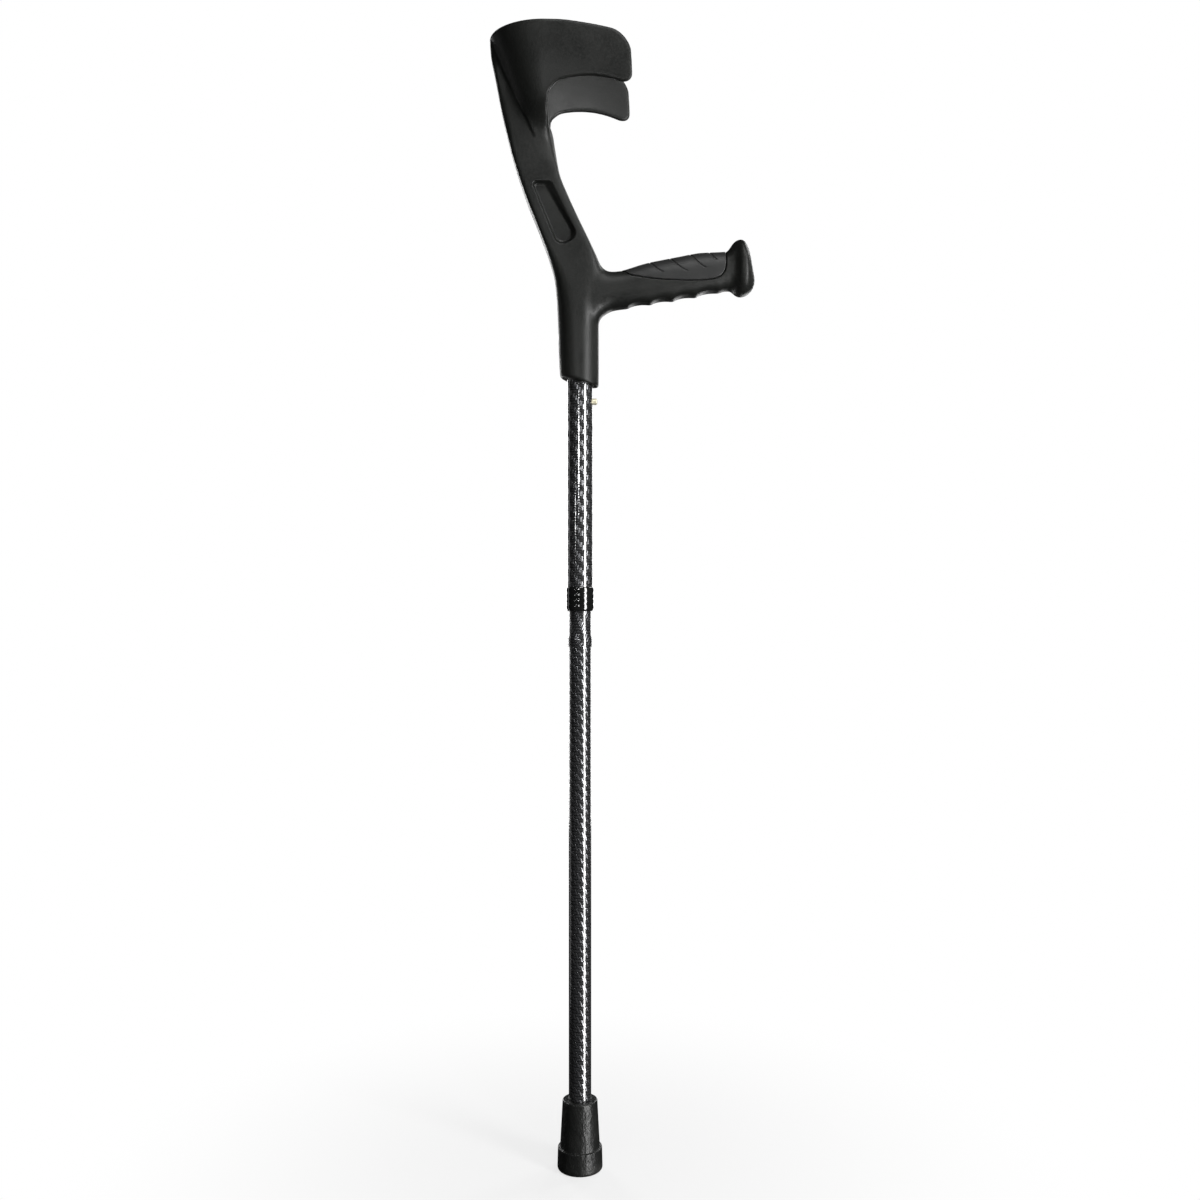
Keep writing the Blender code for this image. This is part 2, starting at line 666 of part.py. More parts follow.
def build_middle_tube():
    mouth, wall = MIDDLE_TUBE_MOUTH, TUBE_WALL
    bell_bore = LOWER_TUBE_R + GAP
    profile = [
        (bell_bore, mouth), (BELL_R - 0.2 * MM, mouth), (BELL_R, mouth + 0.3 * MM),
        (BELL_R, mouth + 5.6 * MM), (BELL_R - 0.25 * MM, mouth + 7.2 * MM),
        (MIDDLE_TUBE_R + 0.15 * MM, mouth + 9.6 * MM), (MIDDLE_TUBE_R, mouth + 11.2 * MM),
        (MIDDLE_TUBE_R, MIDDLE_TUBE_TOP), (MIDDLE_TUBE_R - wall, MIDDLE_TUBE_TOP),
        (MIDDLE_TUBE_R - wall, mouth + 9.8 * MM), (bell_bore, mouth + 7.5 * MM),
    ]
    body = lathe("middle_tube", profile)
    hole = rod("hole", BUTTON_R + GAP, 5 * MM, 20 * MM, (0.0, 0.0, TOP_HOLE_Z), "X", 24)
    return combine(body, hole, "DIFFERENCE")


def build_bush():
    top = MIDDLE_TUBE_TOP
    profile = [
        (6.4 * MM, top - 8 * MM), (8.05 * MM, top - 8 * MM), (8.45 * MM, top - 7.2 * MM),
        (8.45 * MM, top + GAP), (9.85 * MM, top + GAP), (9.85 * MM, top + 2.7 * MM),
        (9.35 * MM, top + 3.3 * MM), (6.4 * MM, top + 3.3 * MM),
    ]
    return lathe("guide_bush", profile, segments=INNER_SEGMENTS)


def build_button():
    inner, outer = BUTTON_FLANGE
    profile = [(0, inner), (BUTTON_FLANGE_R, inner), (BUTTON_FLANGE_R, outer), (BUTTON_R, outer)]
    dome = 1.5 * MM
    for turn in spread(0.0, 90.0, 5):
        side = math.cos(math.radians(turn))
        rise = math.sin(math.radians(turn))
        radius = BUTTON_R - dome + dome * side if turn < 90 else 0.75 * MM
        profile.append((radius, BUTTON_TIP - dome + dome * rise))
    profile.append((0, BUTTON_TIP))
    return lathe("snap_button", profile, (0.0, 0.0, TOP_HOLE_Z), "X", 24)


def build_leaf():
    front, back = BUTTON_FLANGE[0] - GAP, -7.5 * MM
    centre = (front + back) / 2
    outer = (front - back) / 2
    inner = outer - LEAF_THICKNESS
    outline = [(front, LEAF_FRONT_TOP)]
    turns = spread(0.0, -math.pi, 13)
    outline += [(centre + outer * math.cos(t), LEAF_BEND_Z + outer * math.sin(t)) for t in turns]
    outline += [(back, LEAF_REAR_TOP), (back + LEAF_THICKNESS, LEAF_REAR_TOP)]
    outline += [
        (centre + inner * math.cos(t), LEAF_BEND_Z + inner * math.sin(t)) for t in reversed(turns)
    ]
    outline.append((front - LEAF_THICKNESS, LEAF_FRONT_TOP))
    return prism("button_spring", outline, -LEAF_WIDTH / 2, LEAF_WIDTH / 2)


def build_end_plug():
    low, shoulder = END_PLUG_FLANGE
    body_r = LOWER_TUBE_R - TUBE_WALL - GAP
    pocket = CLIP_R + 0.6 * MM
    profile = [
        (pocket, low), (LOWER_TUBE_R, low), (LOWER_TUBE_R, shoulder), (body_r, shoulder),
        (body_r, END_PLUG_TOP - MM), (body_r - MM, END_PLUG_TOP), (CORD_HOLE_R, END_PLUG_TOP),
        (CORD_HOLE_R, END_PLUG_POCKET_TOP), (pocket, END_PLUG_POCKET_TOP),
    ]
    return lathe("tube_end_plug", profile, segments=INNER_SEGMENTS)


def build_upper_plug():
    low, high = UPPER_PLUG
    body_r = MIDDLE_TUBE_R - TUBE_WALL - GAP
    profile = [
        (CORD_HOLE_R, low), (body_r - MM, low), (body_r, low + MM), (body_r, high), (CORD_HOLE_R, high),
    ]
    return lathe("cord_plug_upper", profile, segments=INNER_SEGMENTS)


def build_clip(name, low):
    """A crimped ring round the cord, waisted where the crimp closed on it."""
    high = low + CLIP_LENGTH
    waist = CLIP_R - 0.5 * MM
    profile = [
        (CORD_HOLE_R, low), (CLIP_R, low), (CLIP_R, low + 1.6 * MM), (waist, low + 2.4 * MM),
        (waist, high - 2.4 * MM), (CLIP_R, high - 1.6 * MM), (CLIP_R, high), (CORD_HOLE_R, high),
    ]
    return lathe(name, profile, segments=INNER_SEGMENTS)


def build_spigot():
    radius = LOWER_TUBE_R - TUBE_WALL - GAP
    profile = [
        (SPIGOT_BORE_R, SPIGOT_BOTTOM), (radius, SPIGOT_BOTTOM), (radius, SPIGOT_TOP - 5 * MM),
        (radius - 0.9 * MM, SPIGOT_TOP - 0.8 * MM), (radius - 1.8 * MM, SPIGOT_TOP),
        (SPIGOT_BORE_R, SPIGOT_TOP),
    ]
    return lathe("joint_spigot", profile, segments=INNER_SEGMENTS)


def build_ferrule():
    bore = LOWER_TUBE_R + GAP
    foot, top = FERRULE_FOOT_R, FERRULE_TOP
    edge = 2.6 * MM
    profile = [(0, 0)]
    for centre in TREAD_RINGS:
        for offset, depth in ((-1.3, 0.0), (0.0, 1.1), (1.3, 0.0)):
            profile.append((centre + offset * MM, depth * MM))
    for turn in spread(-90.0, 0.0, 4):
        out = math.cos(math.radians(turn))
        down = math.sin(math.radians(turn))
        profile.append((foot - edge + edge * out, edge + edge * down))
    profile += [
        (FERRULE_FOOT_TOP_R, FERRULE_FOOT_Z - 0.9 * MM),
        (FERRULE_FOOT_TOP_R - 0.5 * MM, FERRULE_FOOT_Z - 0.1 * MM),
        (FERRULE_CONE_R + 0.5 * MM, FERRULE_FOOT_Z + 0.3 * MM),
        (FERRULE_CONE_R, FERRULE_FOOT_Z + 0.9 * MM),
        (FERRULE_TOP_R, FERRULE_SHOULDER_Z), (FERRULE_TOP_R - 0.3 * MM, top - 0.3 * MM),
        (FERRULE_TOP_R - 1.0 * MM, top), (bore + 0.5 * MM, top),
        (bore, top - 0.5 * MM), (bore, FERRULE_FLOOR), (0, FERRULE_FLOOR),
    ]
    return lathe("ferrule", profile, segments=32)


def build_all():
    moulding = plain_material("moulded_plastic", (0.022, 0.023, 0.022), 0.48, 0.0)
    soft = plain_material("soft_grip", (0.026, 0.026, 0.026), 0.62, 0.0)
    twill = plain_material("carbon_print", (0.09, 0.09, 0.095), 0.22, 0.0)
    twill_low = plain_material("carbon_print_lower", (0.09, 0.09, 0.095), 0.22, 0.0)
    gloss = plain_material("gloss_plastic", (0.012, 0.012, 0.012), 0.2, 0.0)
    rubber = plain_material("tip_rubber", (0.02, 0.02, 0.02), 0.7, 0.0)
    brass = plain_material("button_brass", (0.78, 0.66, 0.42), 0.25, 1.0)
    spring_steel = plain_material("spring_steel", (0.45, 0.45, 0.46), 0.3, 1.0)
    zinc = plain_material("plated_steel", (0.6, 0.6, 0.6), 0.3, 1.0)
    nylon = plain_material("grey_nylon", (0.3, 0.3, 0.31), 0.5, 0.0)
    aluminium = plain_material("bare_aluminium", (0.7, 0.7, 0.71), 0.35, 1.0)
    cord = plain_material("cord_cover", (0.55, 0.55, 0.53), 0.85, 0.0)

    rest = (0.0, 0.0, 0.0)
    middle = (0.0, 0.0, MIDDLE_TUBE_MOUTH)
    fold = (0.0, 0.0, LOWER_TUBE_TOP)
    press = (0.0, 0.0, TOP_HOLE_Z)

    finish(build_handle(), moulding, rest, 40.0)
    finish(build_pad(), soft, rest)
    finish(build_upper_tube(), twill, rest)
    finish(build_screw(), zinc, rest)
    finish(build_collar(), gloss, rest)

    finish(build_middle_tube(), twill_low, middle)
    finish(build_bush(), nylon, middle)
    finish(build_leaf(), spring_steel, middle)
    finish(build_upper_plug(), nylon, middle)
    finish(build_clip("cord_clip_upper", UPPER_PLUG[1] + GAP), zinc, middle)
    finish(rod("shock_cord", CORD_R, CORD_BOTTOM, CORD_TOP, segments=20), cord, middle)

    finish(build_button(), brass, press)

    lower_bore = LOWER_TUBE_R - TUBE_WALL
    lower = tube("lower_tube", LOWER_TUBE_R, lower_bore, LOWER_TUBE_BOTTOM, LOWER_TUBE_TOP)
    finish(lower, twill_low, fold)
    finish(build_spigot(), aluminium, fold)
    finish(build_end_plug(), nylon, fold)
    finish(build_clip("cord_clip_lower", END_PLUG_POCKET_TOP - GAP - CLIP_LENGTH), zinc, fold)
    finish(build_ferrule(), rubber, fold)
    low, high = WASHER
    finish(tube("ferrule_washer", LOWER_TUBE_R, 2.0 * MM, low, high, INNER_SEGMENTS), zinc, fold)


clear_scene()
build_all()
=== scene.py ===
import math

import bmesh
import bpy
import numpy as np
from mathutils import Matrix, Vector
from mathutils.bvhtree import BVHTree


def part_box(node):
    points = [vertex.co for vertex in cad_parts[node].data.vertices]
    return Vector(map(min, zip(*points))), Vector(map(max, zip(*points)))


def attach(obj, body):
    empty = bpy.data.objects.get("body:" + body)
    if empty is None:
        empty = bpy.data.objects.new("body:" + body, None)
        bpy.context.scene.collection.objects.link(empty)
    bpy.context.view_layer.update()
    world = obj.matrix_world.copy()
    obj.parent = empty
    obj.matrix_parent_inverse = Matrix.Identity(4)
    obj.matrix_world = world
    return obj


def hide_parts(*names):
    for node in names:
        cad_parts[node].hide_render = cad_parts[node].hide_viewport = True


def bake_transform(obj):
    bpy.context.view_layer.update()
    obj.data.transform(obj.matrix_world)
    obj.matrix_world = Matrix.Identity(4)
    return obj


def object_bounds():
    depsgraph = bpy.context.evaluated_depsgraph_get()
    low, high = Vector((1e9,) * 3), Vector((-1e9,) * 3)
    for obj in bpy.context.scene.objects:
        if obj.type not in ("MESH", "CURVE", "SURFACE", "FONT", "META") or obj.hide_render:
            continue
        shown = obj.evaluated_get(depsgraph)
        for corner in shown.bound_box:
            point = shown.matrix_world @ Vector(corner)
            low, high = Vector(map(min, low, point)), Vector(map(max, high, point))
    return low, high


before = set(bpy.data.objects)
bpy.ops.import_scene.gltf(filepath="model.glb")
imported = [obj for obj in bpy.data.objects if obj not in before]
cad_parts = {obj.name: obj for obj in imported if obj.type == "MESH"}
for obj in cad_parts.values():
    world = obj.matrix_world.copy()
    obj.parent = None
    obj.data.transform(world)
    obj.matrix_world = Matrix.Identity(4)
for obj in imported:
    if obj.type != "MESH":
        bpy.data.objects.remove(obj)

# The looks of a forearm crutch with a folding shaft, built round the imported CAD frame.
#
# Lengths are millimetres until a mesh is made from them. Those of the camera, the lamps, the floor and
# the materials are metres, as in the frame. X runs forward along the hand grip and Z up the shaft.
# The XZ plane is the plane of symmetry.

CAD_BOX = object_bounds()
MM = 0.001
X, Y, Z = 0, 1, 2


def span(node, axis):
    """The low and the high side of a CAD node's box along an axis, in millimetres."""
    low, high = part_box(node)
    return low[axis] / MM, high[axis] / MM


# Places and sizes read from the frame
UPPER_R = span("upper_tube", Y)[1]
UPPER_BOTTOM, UPPER_TOP = span("upper_tube", Z)
BELL_R = span("middle_tube", Y)[1]
MIDDLE_BOTTOM, MIDDLE_TOP = span("middle_tube", Z)
LOWER_R = span("lower_tube", Y)[1]
LOWER_BOTTOM, LOWER_TOP = span("lower_tube", Z)
COLLAR_R = span("anti_rattle_collar", Y)[1]
COLLAR_BOTTOM, COLLAR_TOP = span("anti_rattle_collar", Z)
BUTTON_BACK, BUTTON_TIP = span("snap_button", X)
BUTTON_FLANGE_R = span("snap_button", Y)[1]
BUTTON_Z = sum(span("snap_button", Z)) / 2
SPIGOT_R = span("joint_spigot", Y)[1]
SPIGOT_BOTTOM, SPIGOT_TOP = span("joint_spigot", Z)
CORD_R = span("shock_cord", Y)[1]
CORD_BOTTOM, CORD_TOP = span("shock_cord", Z)
FERRULE_R = span("ferrule", Y)[1]
FERRULE_TOP = span("ferrule", Z)[1]
SCREW_HEAD_X = span("tube_screw", X)[0]
SCREW_R = span("tube_screw", Y)[1]
SCREW_Z = sum(span("tube_screw", Z)) / 2
LEAF_BACK, LEAF_FRONT = span("button_spring", X)
LEAF_HALF_WIDTH = span("button_spring", Y)[1]
LEAF_BOTTOM, LEAF_TOP = span("button_spring", Z)

# Walls, holes, clearances and mesh steps of the tubes and fittings
GAP = 0.3
TUBE_WALL = 1.0
HOLE_R = 3.2
HOLE_COUNT = 7
HOLE_PITCH = 25.0
PIN_R = 2.75
SCREW_HOLE_R = 1.9
SCREW_HOLE_RUN = (-20, -5)
RING_STEP = 12.5
TUBE_CREASE = 32
CORD_END = 0.8
CORD_END_INSET = 0.35
SCREW_HEAD_HEIGHT = 2.5

# Socket, neck and spine of the handle, as (height, value)
SPINE_BACK = (
    (683, -17.5), (712, -18.6), (748, -19.8), (769, -21.6), (790, -26.8), (811, -34.4),
    (842, -46.7), (876, -57.8), (911, -66.6), (949, -74.1), (964, -77.0), (976, -78.0),
)
SPINE_FRONT = (
    (683, 16.4), (735, 16.5), (756, 18.4), (772, 21.9), (784, 17.8), (800, 10.3),
    (842, -9.6), (862, -17.5), (883, -21.3), (902, -25.0), (909, -34.0), (917, -44.0),
    (926, -52.5), (940, -61.0), (976, -74.0),
)
SPINE_HALF_WIDTH = (
    (683, 16.8), (735, 16.6), (775, 15.6), (811, 15.0), (880, 15.0), (930, 13.0), (976, 9.0),
)
SPINE_SQUARENESS = (
    (683, 2.0), (740, 2.1), (765, 2.7), (785, 4.6), (805, 8.0), (876, 8.0), (900, 5.0), (976, 3.0),
)
SOCKET_CUT_Z = 682.7
SOCKET_CUT_SLOPE = 0.265
SOCKET_TILTED_Z = 688.0
SOCKET_LEVEL_Z = 712.0
SOCKET_CENTRE = -0.6
SOCKET_HALF_DEPTH = 16.95
SOCKET_HALF_WIDTH = 16.8
SOCKET_EDGE = ((2.4, 0.0), (1.3, 0.2), (0.7, 0.7), (0.2, 1.4), (0.0, 2.4))
SPINE_FIRST_Z = 694.0
SOCKET_BORE_TOP = UPPER_TOP + 2.0
SOCKET_BORE_FROM = 600.0

# Hand grip, as (distance forward, value)
GRIP_TOP_LINE = (
    (4, 797), (10, 793.5), (15, 788.6), (19, 783.6), (23, 780), (28, 779.1), (36.5, 779.8),
    (43.5, 781.7), (52.2, 784.5), (61, 786.8), (71, 788.8), (87, 791.9), (96, 793.7),
    (104.5, 795.0), (122, 795.8), (127, 796.2), (129.6, 799.0), (132.3, 803.0), (135.7, 806.0),
    (139.2, 806.8), (141.8, 805.7), (143.8, 803.0), (146.2, 797.8), (148, 790), (149.7, 782),
    (151.2, 775.8), (151.9, 772.6),
)
GRIP_BOTTOM_LINE = (
    (4, 722), (11, 727), (15, 732.8), (18, 739.0), (22, 742.5), (28, 745.8), (34.8, 747.1),
    (41.8, 747.9), (61.5, 750.9), (80.8, 753.8), (100.6, 757.2), (120.3, 761.3), (126.2, 763.0),
    (129.7, 763.2), (132.3, 762.0), (135, 759.6), (139.2, 758.2), (144, 759.0), (147, 760.8),
    (149.6, 763.6), (151.2, 767.4), (151.9, 770.6),
)
GRIP_HALF_WIDTH = (
    (4, 14.0), (18, 14.6), (40, 14.8), (75, 15.6), (110, 15.2), (129, 15.0), (133, 15.7),
    (136, 17.9), (138.8, 20.6), (141.2, 21.5), (143.8, 20.9), (146.6, 17.6), (149.2, 11.4),
    (151.2, 5.0), (151.9, 1.8),
)
GRIP_SQUARENESS = 2.35
GRIP_START_X = 4.0
GRIP_FLANGE_X = 126.0
GRIP_DOME_X = 147.0
GRIP_DOME_STEPS = (147.8, 148.6, 149.4, 150.1, 150.7, 151.2, 151.6)
GRIP_CORE_X = 135.0
FINGER_COUNT = 4
FINGER_PITCH = 19.6
FINGER_DEPTH = 2.35
FINGER_FIRST = 41.9
FINGER_LEAN = 0.8

# Soft pad let into the top of the grip: the lower border as (forward, height)
PAD_BORDER = (
    (36.0, 780.2), (43.2, 774.7), (51.8, 772.6), (60.3, 771.1), (77.5, 769.6), (92, 769.2),
    (105, 769.6), (113, 770.4), (118, 771.6), (121.8, 773.8), (124.0, 776.8), (125.2, 781),
    (125.7, 787), (125.8, 830),
)
PAD_PROUD = 0.3
PAD_THICKNESS = 3.0
PAD_SEAM = 0.7
PAD_SEAT = PAD_THICKNESS + 0.3
VEINS = ((59.5, 72.5, 776.0), (77.0, 93.9, 776.6), (94.5, 109.5, 779.5), (111.5, 118.3, 787.0))
VEIN_DEPTH = 0.75
VEIN_HALF_WIDTH = 0.85
VEIN_TAPER_FROM = 0.86
VEIN_BOW = 1.7

# Recess in each side of the neck
RECESS_MOUTH = ((-41.6, 854.3), (-23.8, 854.0), (-0.6, 806.6), (-18.8, 796.6))
RECESS_BED = ((-40.8, 853.4), (-30.8, 853.6), (-4.4, 807.6), (-17.8, 798.2))
RECESS_CORNERS = (3.0, 3.6, 8.0, 8.0)
RECESS_FLOOR = 10.0
RECESS_DEPTH = 5.0

# The recess's outline on its way from bed to mouth and past it, as (share of the way, share of its width)
RECESS_STEPS = ((0.0, 0.90), (0.02, 0.94), (0.08, 0.975), (0.2, 1.0), (1.0, 1.0), (2.0, 1.0))

# Straight fold on each side between the back of the cuff and the neck, as (forward, height)
CREASE = ((-72.5, 962.0), (-37.6, 887.5))
CREASE_HEIGHT = 1.2
CREASE_WIDTH = 1.5
CREASE_REACH = 11.0
CREASE_RISE = (0.0, 0.6)
CREASE_FALL = (1.0, 0.9)
CREASE_FLANK = (6.0, 11.0)

# Where the handle's joins are evened out: each smoothing grows from the first place to the second
JOIN_FLANK = (7, 11)
JOIN_OVER_GRIP = (758, 776)
JOIN_LOWER = (945, 920)
JOIN_UPPER = (920, 945)
JOIN_RIM = (972, 960)

# Fineness of the handle's meshes
ROUGH_VOXEL = 1.0
HANDLE_VOXEL = 0.6
HANDLE_TRIANGLES = 190000
PAD_VOXEL = 0.4
PAD_TRIANGLES = 110000

# Forearm cuff
CUFF_CENTRE = ((884, -27.0), (892, -24.8), (899, -24.0), (908, -24.8), (918, -26.6), (930, -28.0))
CUFF_TIP_X = 44.3
CUFF_WALL = 4.4
CUFF_BACK_TOP = (980.0, -78.8)
CUFF_BACK_LEAN = 0.38
CUFF_HALF_WIDTH = (
    (880, 8.0), (888, 12.0), (894, 17.0), (906, 25.5), (918, 32.5), (930, 36.4), (945, 39.8),
    (960, 42.1), (975, 43.4), (988, 44.0),
)
CUFF_TIP_HALF_WIDTH = 46.0
CUFF_FLARE = 1.15
CUFF_TIP_TOP_R = 16.0
CUFF_TIP_LOW_R = 12.0
CUFF_TIP_LEAN = 0.05
CUFF_TIP_Z = 940.0
CUFF_CROTCH_R = 13.0
CUFF_RIM_BULGE = 1.5
CUFF_RIM = (
    (-79, 979.6), (-62, 979.4), (-44, 979.4), (-18, 978.8), (7, 975.4), (27, 971.1), (44.3, 965.3),
)
CUFF_LOW_PEAK = (3.0, 935.4)
CUFF_LOW_BOW = 0.0066
CUFF_ROOT_Z = 884.0

# Places round the cuff's shell, from 0 at the back by 1 where an arm starts to 2 at its tip
CUFF_ROOT_U = 0.92
CUFF_CROTCH_U = 1.05
CUFF_THINNING_U = 1.97

# Share of the rim's bulge that stays at the root, and of the wall that the tip's end loses on each side
CUFF_ROOT_BULGE = 0.25
CUFF_THINNING = 0.42

# Sloping floor at the foot of the cuff's funnel, as (height, value)
SCOOP_FLOOR = ((890, -27.0), (900, -25.8), (907, -28.4), (916, -37.0), (926, -48.0), (938, -58.5))
SCOOP_HOLLOW = 6.0
SCOOP_RUN = (890.0, 938.0)

# Camera, level and square on to the side of the crutch
CAMERA_PLACE = (0.0174, -1.079, 0.4942)
CAMERA_LENS = 37.2
SENSOR = 36.0

# Stage
FLOOR_R = 6.0
FLOOR_DROP = 0.0002
ROOM_LIGHT = 0.012


# ---- curves and meshes


def smooth_value(knots, at):
    """A smooth curve through the (position, value) knots, without overshoot, read at one position."""
    count = len(knots)
    if at <= knots[0][0]:
        return knots[0][1]
    if at >= knots[-1][0]:
        return knots[-1][1]
    runs = [knots[i + 1][0] - knots[i][0] for i in range(count - 1)]
    rises = [(knots[i + 1][1] - knots[i][1]) / runs[i] for i in range(count - 1)]
    slopes = [rises[0]]
    for i in range(1, count - 1):
        if rises[i - 1] * rises[i] <= 0:
            slopes.append(0.0)
        else:
            w1 = 2 * runs[i] + runs[i - 1]
            w2 = runs[i] + 2 * runs[i - 1]
            slopes.append((w1 + w2) / (w1 / rises[i - 1] + w2 / rises[i]))
    slopes.append(rises[-1])
    i = max(k for k in range(count - 1) if knots[k][0] <= at)
    t = (at - knots[i][0]) / runs[i]
    start = (1 + 2 * t) * (1 - t) ** 2 * knots[i][1] + t * (1 - t) ** 2 * runs[i] * slopes[i]
    end = t * t * (3 - 2 * t) * knots[i + 1][1] + t * t * (t - 1) * runs[i] * slopes[i + 1]
    return start + end


def spread(low, high, count):
    """Evenly spaced values from low to high."""
    return [low + (high - low) * i / (count - 1) for i in range(count)]


def ease(t):
    """0 to 1 with level ends."""
    t = np.clip(t, 0.0, 1.0)
    return t * t * (3 - 2 * t)


def ramp(value, start, stop):
    """0 before the start and 1 past the stop, which may be the lower of the two, eased between them."""
    return ease((value - start) / (stop - start))


def add_object(name, data):
    """A new object in the scene."""
    thing = bpy.data.objects.new(name, data)
    bpy.context.scene.collection.objects.link(thing)
    return thing


def mesh_piece(name, points, faces):
    """An object from points in millimetres, its normals facing out."""
    work = bmesh.new()
    made = [work.verts.new((x * MM, y * MM, z * MM)) for x, y, z in points]
    for face in faces:
        work.faces.new([made[i] for i in face])
    bmesh.ops.remove_doubles(work, verts=work.verts, dist=1e-7)
    bmesh.ops.recalc_face_normals(work, faces=work.faces)
    data = bpy.data.meshes.new(name)
    work.to_mesh(data)
    work.free()
    return add_object(name, data)


def loft(name, rings):
    """A closed body through rings of equal size, capped at both ends."""
    size = len(rings[0])
    points = [p for ring in rings for p in ring]
    faces = [tuple(reversed(range(size)))]
    for k in range(len(rings) - 1):
        for i in range(size):
            j = (i + 1) % size
            faces.append((k * size + i, k * size + j, (k + 1) * size + j, (k + 1) * size + i))
    last = (len(rings) - 1) * size
    faces.append(tuple(range(last, last + size)))
    return mesh_piece(name, points, faces)


def lathe(name, profile, centre=(0.0, 0.0, 0.0), along="Z", segments=128):
    """A body turned from a closed profile of (radius, distance along the axis) points."""
    points = []
    for r, d in profile:
        for s in range(segments):
            turn = 2 * math.pi * s / segments
            across = (r * math.cos(turn), r * math.sin(turn))
            local = (*across, d) if along == "Z" else (d, *across)
            points.append(tuple(c + v for c, v in zip(centre, local)))
    faces = []
    for k in range(len(profile)):
        nxt = (k + 1) % len(profile)
        if profile[k][0] == profile[nxt][0] == 0:
            continue
        for s in range(segments):
            t = (s + 1) % segments
            faces.append((k * segments + s, k * segments + t, nxt * segments + t, nxt * segments + s))
    return mesh_piece(name, points, faces)


def rounded(corners, radii, steps=6):
    """The points of a closed outline with each corner replaced by an arc. A radius of 0 keeps the corner."""
    points = []
    count = len(corners)
    for k in range(count):
        here = Vector(corners[k])
        if radii[k] == 0:
            points.append((here.x, here.y))
            continue
        before = (Vector(corners[k - 1]) - here).normalized()
        after = (Vector(corners[(k + 1) % count]) - here).normalized()
        half_angle = before.angle(after) / 2
        reach = radii[k] / math.tan(half_angle)
        centre = here + (before + after).normalized() * radii[k] / math.sin(half_angle)
        start = here + before * reach - centre
        stop = here + after * reach - centre
        for t in spread(0.0, 1.0, steps):
            mixed = (start * (1 - t) + stop * t).normalized() * radii[k]
            points.append((centre.x + mixed.x, centre.y + mixed.y))
    return points


def shifted(line, distance):
    """An open line moved sideways, to its right as it runs."""
    points = []
    for k in range(len(line)):
        before = Vector(line[max(k - 1, 0)])
        after = Vector(line[min(k + 1, len(line) - 1)])
        run = (after - before).normalized()
        points.append((line[k][0] + run.y * distance, line[k][1] - run.x * distance))
    return points


def rod(name, radius, low, high, centre=(0.0, 0.0, 0.0), along="Z", segments=64):
    """A plain round bar between two distances along its axis."""
    return lathe(name, [(0, low), (radius, low), (radius, high), (0, high)], centre, along, segments)


def keep_shape(piece):
    """Applies the piece's modifiers to its mesh."""
    bpy.context.view_layer.update()
    graph = bpy.context.evaluated_depsgraph_get()
    made = bpy.data.meshes.new_from_object(piece.evaluated_get(graph))
    piece.modifiers.clear()
    old = piece.data
    piece.data = made
    bpy.data.meshes.remove(old)
    made.name = piece.name


def combine(piece, other, operation="DIFFERENCE"):
    """Applies a Boolean and removes the other body."""
    step = piece.modifiers.new("combine", "BOOLEAN")
    step.operation = operation
    step.solver = "MANIFOLD"
    step.object = other
    keep_shape(piece)
    bpy.data.objects.remove(other, do_unlink=True)


def remesh(piece, voxel):
    """Rebuilds the mesh from even small quads, which also rounds its edges by about one voxel."""
    step = piece.modifiers.new("remesh", "REMESH")
    step.mode = "VOXEL"
    step.voxel_size = voxel * MM
    keep_shape(piece)


def thin_out(piece, most_triangles):
    """Takes away the triangles that flat areas don't need."""
    piece.data.calc_loop_triangles()
    share = most_triangles / max(1, len(piece.data.loop_triangles))
    if share < 1:
        step = piece.modifiers.new("thin", "DECIMATE")
        step.ratio = share
        keep_shape(piece)


def points_of(piece):
    """The mesh's vertices in millimetres."""
    co = np.zeros(len(piece.data.vertices) * 3, np.float32)
    piece.data.vertices.foreach_get("co", co)
    return co.reshape(-1, 3).astype(float) / MM


def set_points(piece, co):
    """Moves the mesh's vertices to these places in millimetres."""
    piece.data.vertices.foreach_set("co", (co * MM).astype(np.float32).ravel())
    piece.data.update()


def relax(piece, share, rounds):
    """Evens the surface out where share, a number from 0 to 1 for each vertex, isn't 0."""
    ends = np.zeros(len(piece.data.edges) * 2, np.int32)
    piece.data.edges.foreach_get("vertices", ends)
    ends = ends.reshape(-1, 2)
    near = (share[ends[:, 0]] > 0) | (share[ends[:, 1]] > 0)
    a, b = ends[near].T
    co = points_of(piece)
    count = len(co)
    degree = np.maximum(1, np.bincount(a, minlength=count) + np.bincount(b, minlength=count))
    pull = (0.5 * share)[:, None]
    total = np.zeros_like(co)
    for _ in range(rounds):
        for k in (X, Y, Z):
            total[:, k] = np.bincount(a, co[b, k], count) + np.bincount(b, co[a, k], count)
        co += pull * (total / degree[:, None] - co)
    set_points(piece, co)


def shade(piece, material, crease=None):
    """Gives the piece its material and smooth shading, with edges of more degrees than the crease sharp."""
    piece.data.materials.clear()
    piece.data.materials.append(material)
    for face in piece.data.polygons:
        face.use_smooth = True
        face.material_index = 0
    if crease:
        piece.data.set_sharp_from_angle(angle=math.radians(crease))


def finish(piece, material, crease, body, slot, *nodes):
    """Shades the piece, which rides on the body and stands for the CAD nodes, which it hides. The slot is not
    used.
    """
    shade(piece, material, crease)
    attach(piece, body)
    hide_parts(*nodes)


# ---- shader nodes


